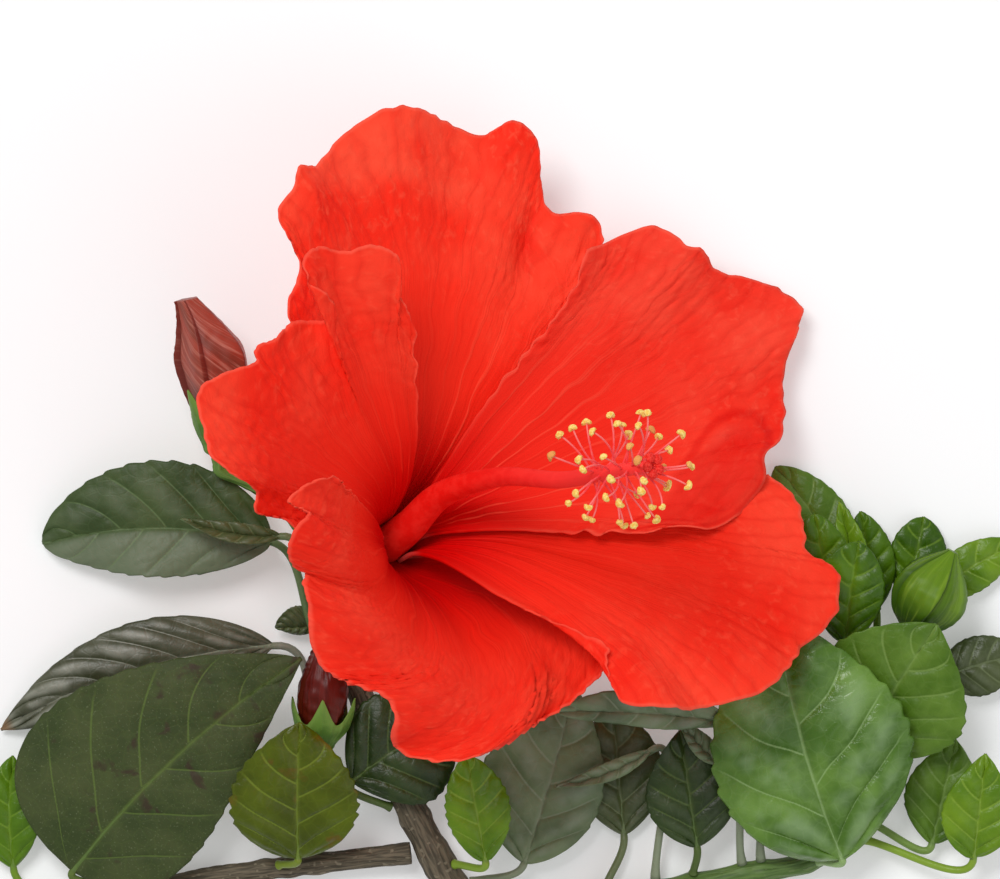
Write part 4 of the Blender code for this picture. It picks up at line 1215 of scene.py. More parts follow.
    def build(self, red: Finish, pink: Finish, pollen: Finish, velvet: Finish) -> None:
        """Shape the column, its stamens and its pads, and dress them.

        Args:
            red: Finish of the column and its styles.
            pink: Finish of the filaments.
            pollen: Finish of the anthers.
            velvet: Finish of the stigma pads.
        """
        styles, pads = self.pads()
        Shell.joined([self.shaft(), styles]).placed(self.node, red)
        paths = [self.thread(index) for index in range(self.stamens)]
        widths = np.linspace(*self.filament_radii, self.filament_steps)
        Shell.joined([rod(path, widths, self.filament_sides) for path in paths]).placed("filaments", pink)
        anthers = [self.anther(path, index) for index, path in enumerate(paths)]
        Shell.joined(anthers).placed("anthers", pollen)
        pads.placed("stigma_pads", velvet)


@dataclass(frozen=True)
class Rim:
    """The rim of a green cup: how high it is, its lobes, and the ribs that run up to them."""

    height: float
    lobe: float
    turn: float
    rib: float = 0.14
    lobes: int = 5

    def top(self, angle: Array) -> Array:
        """How high the rim is at some angles."""
        return self.height + self.lobe * (1.0 - abs(np.sin(0.5 * self.lobes * (angle - self.turn))))

    def ribs(self, angle: Array, v: Array) -> Array:
        """How far the ribs stand out at some angles and shares of the height."""
        across = np.sin(1.5 * self.lobes * (angle - self.turn))
        return self.rib * ridge(across, 0.30) * grown(v, (0.0, 0.3))

    def thickness(self, whole: float, v: Array) -> Array:
        """How thick the cup is at some shares of its height. It thins towards the rim."""
        return whole * (1.0 - 0.6 * grown(v, (0.8, 1.0)))


@dataclass(frozen=True)
class Calyx:
    """The green cup round the bloom's foot, five-lobed, with a ring of narrow bracts below."""

    node: str = "calyx_bloom"
    heights: Knots = (-9.0, -8.4, -5.0, 0.0, 5.0, 12.0)
    radii: Knots = (0.0, 2.6, 4.6, 6.9, 13.2, 20.8)
    rim: Rim = Rim(height=4.0, lobe=9.0, turn=0.35, rib=0.22)
    wall: float = 0.7
    relief: float = 0.12
    columns: int = 160
    rows: int = 40
    bracts: int = 7
    bract_out: Knots = (3.6, 7.05, 9.5)
    bract_heights: Knots = (-6.7, -3.25, 1.8)
    bract_widths: Knots = (0.3, 0.9, 0.75, 0.2)
    bract_keel: float = 0.25
    bract_wall: float = 0.55
    bract_columns: int = 7
    bract_rows: int = 24

    def cup(self, bloom: BloomFrame) -> Shell:
        """The cup with its lobes, ribbed along its veins.

        Args:
            bloom: The frame of its bloom.

        Returns:
            The cup.
        """
        angle = ring(self.columns) - math.pi
        v = column(self.rows, FIRST_ROW)
        height = self.heights[0] + (self.rim.top(angle) - self.heights[0]) * v
        radius = np.interp(height, self.heights, self.radii) + self.rim.ribs(angle, v)
        radius = radius + self.relief * ripples(6.0 * angle, height, 3.0, 61)
        middle = np.array(bloom.throat) + height[..., None] * bloom.axes()[2]
        middle = middle + radius[..., None] * bloom.round_axis(angle)
        return sheet(middle, self.rim.thickness(self.wall, v), {"along": v}, wrapped=True)

    def bract(self, bloom: BloomFrame, index: int) -> Shell:
        """One narrow pointed bract.

        Args:
            bloom: The frame of its bloom.
            index: Which bract of the ring.

        Returns:
            The bract.
        """
        angle = math.tau * (index + 0.5) / self.bracts
        v = column(self.bract_rows)
        u = np.linspace(-1.0, 1.0, self.bract_columns)
        height = through(self.bract_heights, v) + self.bract_keel * abs(u)
        out = through(self.bract_out, v)[..., None] * bloom.round_axis(angle)
        width = (through(self.bract_widths, v) * u)[..., None] * bloom.round_axis(angle + 0.5 * math.pi)
        middle = np.array(bloom.throat) + height[..., None] * bloom.axes()[2] + out + width
        thickness = self.bract_wall * (1.0 - 0.5 * u * u) * (1.0 - 0.5 * v)
        return sheet(middle, thickness, {"along": v})

    def build(self, bloom: BloomFrame, finish: Finish) -> None:
        """Shape the calyx and dress it.

        Args:
            bloom: The frame of its bloom.
            finish: What it is dressed in.
        """
        shells = [self.cup(bloom)] + [self.bract(bloom, index) for index in range(self.bracts)]
        Shell.joined(shells).placed(self.node, finish)


@dataclass(frozen=True)
class Bud:
    """One bud of furled petals."""

    node: str
    foot: Point
    tip: Point
    bend: float
    radii: Knots
    lobes: int
    depth: float
    twist: float
    turn: float = 0.0
    overlap: float = 0.16
    coil: float = 0.0
    wrinkle: float = 0.10
    wrinkle_pitch: float = 3.0
    seam: float = 0.035
    seed: int = 0
    rings: int = 90
    sides: int = 120

    def frame(self, t: Array | float) -> tuple[Array, Array, Array, Array, Array]:
        """Where the bud is at some shares of its length.

        Args:
            t: The shares, from foot to tip.

        Returns:
            Its middles, its radii, and the directions along, across and above it.
        """
        foot, tip = np.array(self.foot), np.array(self.tip)
        ahead = unit(tip - foot)
        across = unit(np.cross(UP, ahead))
        t = np.asarray(t, float)[..., None]
        centre = foot + (tip - foot) * t + across * self.bend * 4.0 * t * (1.0 - t)
        return centre, through(self.radii, t[..., 0]), ahead, across, np.cross(ahead, across)

    def build(self, finish: Finish) -> None:
        """Shape the bud and dress it.

        Args:
            finish: What it is dressed in.
        """
        t = column(self.rings)
        turn = ring(self.sides)
        angle = turn + math.radians(self.twist) * t
        coiled = angle + math.radians(self.coil) * t
        centre, radius, _, across, high = self.frame(t)
        turned = (turn - math.radians(self.turn)) * self.lobes
        lap = (turned / math.tau) % 1.0
        step = self.overlap * (lap - 0.5) * grown(t, (0.0, 0.25))
        reach = radius * (1.0 + 0.75 * self.depth * np.cos(turned) + step)
        wrinkles = ripples(radius * angle, 18.0 * t, self.wrinkle_pitch, self.seed + 5)
        reach = reach + self.wrinkle * wrinkles
        marks = {
            "along": t, "around": np.cos(coiled), "beside": np.sin(coiled),
            "seam": ridge(np.minimum(lap, 1.0 - lap), self.seam) * grown(t, (0.0, 0.3)),
        }
        places = centre + reach[..., None] * spoke(angle, across, high)
        tube(places, marks).placed(self.node, finish)


@dataclass(frozen=True)
class BudCalyx:
    """The green cup round a bud's foot."""

    node: str
    bud: Bud
    rim: Rim
    gap: float = 1.0
    floor: float = 1.3
    wall: float = 0.6
    columns: int = 130
    rows: int = 40

    def build(self, finish: Finish) -> None:
        """Shape the cup and dress it.

        Args:
            finish: What it is dressed in.
        """
        bud = self.bud
        angle = ring(self.columns) - math.pi
        v = column(self.rows, FIRST_ROW)
        height = self.floor * (v - 1.0) + self.rim.top(angle) * v
        length = span_of(bud.foot, bud.tip)
        centre, radius, ahead, across, high = bud.frame(np.maximum(height, 0.0) / length)
        below = np.minimum(height / self.floor, 0.0)
        reach = (radius * (1.0 + bud.depth) + self.gap) * np.sqrt(np.maximum(1.0 - below * below, 0.0))
        reach = reach + self.rim.ribs(angle, v)
        middle = centre + (below * self.floor)[..., None] * ahead
        middle = middle + reach[..., None] * spoke(angle, across, high)
        cup = sheet(middle, self.rim.thickness(self.wall, v), {"along": v}, wrapped=True)
        cup.placed(self.node, finish)


BUDS = {bud.node: bud for bud in (
    Bud("bud_left", foot=(-51.4, -1.2, 12.2), tip=(-56.6, 25.4, 16.0), bend=-2.6,
        radii=(1.2, 2.9, 4.2, 5.3, 5.9, 5.9, 4.6, 3.2, 2.0), lobes=5, depth=0.07,
        twist=14.0, turn=68.0, overlap=0.24, coil=230.0, wrinkle=0.04, seed=70),
    Bud("bud_low", foot=(-32.6, -55.2, 11.0), tip=(-32.2, -34.4, 12.6), bend=-0.6,
        radii=(1.2, 3.0, 3.9, 4.4, 4.4, 3.9, 2.9, 1.8, 0.7), lobes=3, depth=0.08,
        twist=60.0, seed=80),
    Bud("bud_right", foot=(73.8, -34.4, 9.2), tip=(82.0, -20.2, 12.0), bend=0.0,
        radii=(1.5, 4.2, 5.6, 6.4, 6.5, 5.9, 4.6, 2.8, 1.1), lobes=5, depth=0.07,
        twist=12.0, turn=30.0, wrinkle=0.05, seed=90),
)}
BUD_CALYXES = (
    BudCalyx("calyx_bud_left", BUDS["bud_left"], Rim(height=5.5, lobe=6.5, turn=0.66), gap=0.7),
    BudCalyx("calyx_bud_low", BUDS["bud_low"], Rim(height=4.0, lobe=5.0, turn=0.3)),
)


def walk(knots: Array, shares: Sequence[float]) -> Array:
    """Go along a smooth curve in even strides.

    Args:
        knots: Points that it goes through.
        shares: Shares of its length.

    Returns:
        The points there.
    """
    fine = through(knots, np.linspace(0.0, 1.0, FINE_STEPS * (len(knots) - 1) + 1))
    reach = np.concatenate([[0.0], np.cumsum(np.linalg.norm(np.diff(fine, axis=0), axis=1))])
    goals = np.asarray(shares) * reach[-1]
    return np.stack([np.interp(goals, reach, fine[:, k]) for k in range(3)], axis=-1)


@dataclass(frozen=True)
class Stem:
    """A woody stem, side shoot or stalk. It may grow from another, and carry a bud or the bloom."""

    node: str
    path: tuple[Point, ...]
    radii: Knots
    grows_from: str = ""
    at: float = 0.0
    carries: str = ""
    sides: int = 36
    pitch: float = 0.45
    bark: float = 0.12
    bark_pitch: float = 2.2
    joint: float = 0.35
    joint_width: float = 1.6

    def relief(self, turn: Array, run: Array) -> Array:
        """Height of the bark round and along the stem."""
        across, beside = 4.0 * np.cos(turn), 4.0 * np.sin(turn) + 0.3 * run
        return self.bark * ripples(across, beside, self.bark_pitch, len(self.node))


STEMS = {stem.node: stem for stem in (
    Stem("stem_main", ((0.0, -98.0, 3.2), (-4.5, -89.0, 3.6), (-12.6, -74.0, 4.2),
                       (-20.7, -58.0, 4.8), (-26.5, -43.0, 5.4), (-30.0, -29.5, 6.0)),
         (3.1, 3.0, 2.7, 2.5, 2.2, 1.9)),
    Stem("shoot_left", ((-24.0, -76.0, 3.6), (-38.0, -77.6, 3.0), (-56.0, -80.0, 2.6),
                        (-75.0, -84.0, 2.4)),
         (1.9, 1.8, 1.7, 1.5, 1.2), "stem_main", 0.35),
    Stem("shoot_right", ((8.0, -87.4, 3.2), (22.0, -83.6, 3.0), (42.0, -79.4, 2.8),
                         (58.0, -76.0, 2.6), (67.0, -66.0, 2.6), (70.5, -52.0, 2.8),
                         (71.3, -38.5, 3.4)),
         (2.0, 2.0, 1.9, 1.8, 1.7, 1.6, 1.5, 1.3), "stem_main", 0.087),
    Stem("stalk_bloom", ((-29.4, -25.6, 8.2),), (1.5, 1.4, 1.4, 1.6), "stem_main", 1.0, "bloom"),
    Stem("stalk_bud_left", ((-33.6, -23.4, 8.0), (-37.0, -15.4, 9.2), (-42.0, -10.0, 10.2),
                            (-47.6, -6.9, 11.0)),
         (0.9, 0.9, 0.9, 1.0, 1.1, 1.3), "stem_main", 0.95, "bud_left"),
    Stem("stalk_bud_low", ((-33.3, -70.0, 6.0), (-32.9, -64.0, 8.6)), (0.9, 0.9, 0.9, 1.1),
         "shoot_left", 0.29, "bud_low"),
    Stem("stalk_bud_right", ((72.0, -36.2, 6.4),), (0.9, 0.9, 1.0, 1.3), "shoot_right", 1.0,
         "bud_right"),
)}


@dataclass(frozen=True)
class Stems:
    """All stems of the branch, each ending on what it grows from and on what it carries."""

    bloom: BloomFrame
    calyx_foot: float = -9.0
    calyx_half: float = 0.35
    cup_half: float = 0.3

    def read(self, node: str, t: float) -> tuple[Array, Array, float]:
        """Where a stem is at some share of its length.

        Args:
            node: Which stem.
            t: The share, from its start to its end.

        Returns:
            The point, the direction along the stem, and its radius.
        """
        behind, point, before = walk(self.knots(node), neighbours(t))
        return point, unit(before - behind), float(through(STEMS[node].radii, t))

    def leave(self, node: str, at: float, toward: Array, radius: float) -> tuple[Array, Array]:
        """Where something starts on a stem, just clear of its bark.

        Args:
            node: Which stem it starts on.
            at: The share of that stem's length.
            toward: Where it goes.
            radius: How thick it is.

        Returns:
            Its start, and the way that it leaves.
        """
        socket, ahead, bark = self.read(node, at)
        if at >= 1.0:
            return socket + ahead * SEAT, ahead
        aim = unit(toward - socket)
        slant = float(np.clip(aim @ ahead, -MOST_SLANT, MOST_SLANT))
        square = math.sqrt(1.0 - slant * slant)
        away = unit(aim - ahead * (aim @ ahead)) * square + ahead * slant
        return socket + away * (bark + SEAT + radius * abs(slant)) / square, away

    def seat(self, carried: str) -> tuple[Array, Array]:
        """Where the stalk of the bloom or of a bud ends.

        Args:
            carried: "bloom", or the name of a bud.

        Returns:
            The end, and which way the stalk points there.
        """
        if carried == "bloom":
            axis = self.bloom.axes()[2]
            return np.array(self.bloom.throat) + axis * (self.calyx_foot - self.calyx_half - SEAT), axis
        bud = BUDS[carried]
        ahead = bud.frame(0.0)[2]
        cups = [cup for cup in BUD_CALYXES if cup.bud is bud]
        below = cups[0].floor + self.cup_half if cups else 0.0
        return np.array(bud.foot) - ahead * (below + SEAT), ahead

    def knots(self, node: str) -> Array:
        """Knots of a stem's axis.

        Args:
            node: Which stem.

        Returns:
            Its own points, between the ones that join it to what it grows from and what it carries.
        """
        stem = STEMS[node]
        path = [np.array(point) for point in stem.path]
        if stem.grows_from:
            start, away = self.leave(stem.grows_from, stem.at, path[0], stem.radii[0])
            path = [start + away * stem.radii[0] * stride for stride in range(3)] + path
        if stem.carries:
            seat, ahead = self.seat(stem.carries)
            path += [seat - ahead * stem.radii[-1] * stride for stride in (2, 1, 0)]
        return np.array(path)

    def build(self, node: str, finish: Finish, joints: Sequence[float]) -> None:
        """Shape one stem and dress it.

        Args:
            node: Which stem.
            finish: What it is dressed in.
            joints: Shares of its length at which a leaf or shoot stands on it.
        """
        stem = STEMS[node]
        knots = self.knots(node)
        rough = walk(knots, np.linspace(0.0, 1.0, 50))
        length = float(np.linalg.norm(np.diff(rough, axis=0), axis=1).sum())
        shares = np.linspace(0.0, 1.0, max(int(length / stem.pitch), 24))
        radii = through(stem.radii, shares)
        for joint in joints:
            radii = radii + stem.joint * ridge((shares - joint) * length, stem.joint_width)
        rod(walk(knots, shares), radii, stem.sides, stem.relief).placed(node, finish)


class LeafKind(Enum):
    """The finishes that leaves wear, by age and light."""

    # Grey-green, one half painted paler as sheen.
    HALVED = LeafFinish(
        "leaf_halved", "leaf_dark", (0.030, 0.056, 0.012), (0.058, 0.092, 0.026), (0.15, 0.23, 0.09),
        (0.15, 0.185, 0.115), streaked=0.35, gloss=0.30, roughness=(0.42, 0.54), veined=0.6,
        sheen_half=0.7)
    # Grey-green and glossy.
    GREY = LeafFinish(
        "leaf_grey", "leaf_dark", (0.036, 0.054, 0.010), (0.070, 0.090, 0.028), (0.20, 0.25, 0.11),
        (0.16, 0.19, 0.11), streaked=0.30, gloss=0.40, roughness=(0.34, 0.46), veined=0.5)
    # Dark, with pale streaks of painted sheen along its veins.
    STREAKED = LeafFinish(
        "leaf_streaked", "leaf_dark", (0.044, 0.049, 0.022), (0.100, 0.105, 0.066),
        (0.32, 0.33, 0.26), (0.30, 0.305, 0.25), streaked=0.75, dried_tip=0.06, gloss=0.35,
        roughness=(0.34, 0.46))
    # Old, dark and matt, with brown patches.
    MATT = LeafFinish(
        "leaf_matt", "leaf_dark", (0.036, 0.054, 0.016), (0.060, 0.078, 0.026), (0.13, 0.20, 0.04),
        (0.13, 0.16, 0.08), mark=(0.042, 0.026, 0.018), marked=0.8, speckled=0.5, gloss=0.15,
        roughness=(0.50, 0.62), veined=0.65)
    # Darkest green, darkened as painted shade.
    SHADED = LeafFinish(
        "leaf_shaded", "leaf_dark", (0.012, 0.026, 0.004), (0.030, 0.056, 0.010), (0.09, 0.14, 0.03),
        (0.10, 0.13, 0.07), streaked=0.25, gloss=0.3, roughness=(0.30, 0.42))
    # Blue-grey.
    GLAUCOUS = LeafFinish(
        "leaf_glaucous", "leaf_dark", (0.072, 0.110, 0.046), (0.155, 0.205, 0.100),
        (0.26, 0.30, 0.20), (0.26, 0.29, 0.22), streaked=0.4, gloss=0.35)
    # Middle green, glossy.
    MIDDLE = LeafFinish(
        "leaf_middle", "leaf_bright", (0.046, 0.122, 0.006), (0.138, 0.262, 0.040),
        (0.30, 0.45, 0.17), (0.28, 0.41, 0.21), streaked=0.40, gloss=0.36, roughness=(0.20, 0.32))
    # Middle green, flat.
    PLAIN = LeafFinish(
        "leaf_plain", "leaf_bright", (0.056, 0.128, 0.006), (0.122, 0.222, 0.026),
        (0.21, 0.32, 0.08), gloss=0.22, roughness=(0.30, 0.42))
    FRESH = LeafFinish(
        "leaf_fresh", "leaf_bright", (0.030, 0.085, 0.001), (0.078, 0.172, 0.003),
        (0.17, 0.29, 0.02), gloss=0.25, roughness=(0.28, 0.40))
    # Yellow-green.
    YOUNG = LeafFinish(
        "leaf_young", "leaf_bright", (0.075, 0.170, 0.002), (0.150, 0.270, 0.008),
        (0.25, 0.38, 0.04), gloss=0.28, roughness=(0.28, 0.40))
    # Yellow-green with brown spots.
    SPOTTED = LeafFinish(
        "leaf_spotted", "leaf_bright", (0.046, 0.066, 0.001), (0.085, 0.120, 0.003),
        (0.20, 0.27, 0.03), mark=(0.13, 0.065, 0.006), marked=0.6, gloss=0.22,
        roughness=(0.24, 0.34))


@dataclass(frozen=True)
class Leaf:
    """One leaf: its stalk from a stem, and its toothed and veined blade."""

    node: str
    kind: LeafKind
    stem: str
    at: float
    base: Point
    tip: Point
    # Half widths to the left and right of the midrib.
    halves: tuple[float, float]
    # How far the midrib bows to its left and upwards.
    bow: float = 0.0
    arch: float = 0.6
    widest: float = 0.45
    fold: float = 6.0
    roll: float = 0.0
    blunt: float = 0.85
    teeth: float = 11.0
    tooth: float = 0.05
    pairs: float = 5.0
    quilt: float = 0.45
    wave: float = 0.5
    wave_pitch: float = 14.0
    dimple: float = 0.045
    dimple_pitch: float = 2.2
    seed: int = 0
    pitch: float = 0.42
    droop: float = 0.10
    vein_sweep: float = 0.85
    vein_depth: float = 0.22
    midrib_width: float = 0.36
    midrib_depth: float = 0.30
    thick: float = 0.50
    thin: float = 0.22
    rows: tuple[int, int] = (40, 130)
    half_columns: tuple[int, int] = (12, 36)
    stalk_radius: float = 0.7
    stalk_sides: int = 14
    stalk_steps: int = 26
    stalk_runs_to: float = 0.92
    stalk_shade: float = 0.4

    def midrib(self, v: Array) -> tuple[Array, Array, Array]:
        """Where the midrib is.

        Args:
            v: Shares of the blade's length.

        Returns:
            Its points there, and the directions to its left and above it.
        """
        base, tip = np.array(self.base), np.array(self.tip)
        chord = tip - base
        left = unit(np.cross(UP, chord))
        shift = left * self.bow + UP * self.arch
        v = v[..., None]
        point = base + chord * v + 4.0 * v * (1.0 - v) * shift
        ahead = unit(chord + 4.0 * (1.0 - 2.0 * v) * shift)
        side = unit(np.cross(UP, ahead))
        rolled = spoke(math.radians(self.roll), side, np.cross(ahead, side))
        return point, rolled, np.cross(ahead, rolled)

    def width(self, u: Array, v: Array) -> Array:
        """How far each point is from the midrib, with teeth along the rim.

        Args:
            u: Place across the blade, from 1 at its left to -1.
            v: Share of its length.

        Returns:
            The distances, in millimetres.
        """
        power = math.log(0.5) / math.log(self.widest)
        outline = np.maximum(np.sin(math.pi * v ** power), 0.0) ** self.blunt
        saw = (v * self.teeth + 0.35 * np.sign(u)) % 1.0
        tooth = self.tooth * (1.1 * saw ** 1.4 * (1.0 - saw ** 9) - 0.35)
        tooth = tooth * grown(v, (0.18, 0.33)) * grown(abs(u), (0.75, 1.0))
        return abs(u) * np.where(u > 0.0, *self.halves) * np.maximum(outline, 0.02) * (1.0 + tooth)

    def blade(self) -> Shell:
        """The blade.

        Returns:
            A thin sheet, quilted between its veins and toothed along its rim.
        """
        length = span_of(self.base, self.tip)
        v = column(int(np.clip(length / self.pitch, *self.rows)))
        columns = 2 * int(np.clip(max(self.halves) / self.pitch, *self.half_columns)) + 1
        u = np.linspace(1.0, -1.0, columns)
        off, hand = abs(u), np.sign(u)
        width = self.width(u, v)
        sweep = self.vein_sweep * (np.where(u > 0.0, *self.halves) / length) * off ** 1.15
        phase = (v - sweep * (1.1 - 0.5 * v)) * self.pairs + 0.25 * hand
        phase = phase + 0.03 * ripples(width, 0.5 * length * v, 14.0, self.seed + 1)
        near = abs(phase - np.round(phase))
        branched = grown(off, (1.0, 0.72)) * grown(v, (0.0, 0.06)) * (phase > -0.4)
        side_veins = ridge(near * length / self.pairs, 0.34 + 0.16 * (1.0 - off)) * branched
        main_vein = ridge(width, self.midrib_width) * (1.0 - 0.4 * v)
        swell = np.sqrt(np.clip(near * 2.0, 0.0, 1.0))
        raised = self.quilt * swell * np.sin(math.pi * off) ** 0.7 * grown(v, (0.0, 0.1))
        waves = ripples(hand * 30.0 + 0.3 * width, length * v, self.wave_pitch, self.seed)
        dimples = ripples(width * hand, length * v, self.dimple_pitch, self.seed + 2, 12)
        raised = raised + self.wave * waves * off ** 2 + self.dimple * dimples
        rise = math.radians(self.fold)
        height = width * math.sin(rise) - self.droop * width * off + raised * grown(v, (1.0, 0.9))
        height = height - self.vein_depth * side_veins - self.midrib_depth * main_vein
        point, side, high = self.midrib(v[:, 0])
        places = point[:, None] + (hand * math.cos(rise) * width)[..., None] * side[:, None]
        marks = {
            "along": v, "wide": hand * width, "long": length * v, "seed": 10.0 * self.seed,
            "vein": main_vein, "phase": phase, "spacing": length / self.pairs, "branched": branched,
            "quilt": swell * np.sin(math.pi * off) ** 0.5,
        }
        thickness = self.thin + (self.thick - self.thin) * (1.0 - off)
        return sheet(places + height[..., None] * high[:, None], thickness, marks)

    def stalk(self, stems: Stems) -> Shell:
        """The stalk, which runs on under the blade as its midrib.

        Args:
            stems: The stems of the branch.

        Returns:
            The stalk.
        """
        inner = np.linspace(0.0, self.stalk_runs_to, 40)
        along, _, high = self.midrib(inner)
        base, ahead = along[0], unit(along[1] - along[0])
        start, away = stems.leave(self.stem, self.at, base, self.stalk_radius)
        reach = np.linalg.norm(base - start) / 3.0
        first, second = start + away * reach, base - ahead * reach
        t = column(self.stalk_steps)[:-1]
        rest = 1.0 - t
        outer = rest ** 3 * start + 3.0 * rest * rest * t * first
        outer = outer + 3.0 * rest * t * t * second + t ** 3 * base
        sunk = along - high * (0.30 + 0.15 * grown(inner, (0.0, 0.1)))[:, None]
        swollen, thinner = 1.0 + 0.35 * ridge(t[:, 0], 0.08), 0.95 - 0.75 * inner ** 0.7
        radii = self.stalk_radius * np.concatenate([swollen, thinner])
        shell = rod(np.concatenate([outer, sunk]), radii, self.stalk_sides)
        shade = np.repeat([0.0] * len(outer) + [self.stalk_shade] * len(sunk), self.stalk_sides)
        marks = {
            "vein": np.ones(len(shell.points)), "wide": shell.marks["around"],
            "long": shell.marks["length"],
            "underside": np.concatenate([shade, (0.0, self.stalk_shade)]),
        }
        return Shell(shell.points, shell.faces, marks)

    def build(self, stems: Stems) -> None:
        """Shape the leaf and dress it.

        Args:
            stems: The stems of the branch.
        """
        Shell.joined([self.blade(), self.stalk(stems)]).placed(self.node, self.kind.value)


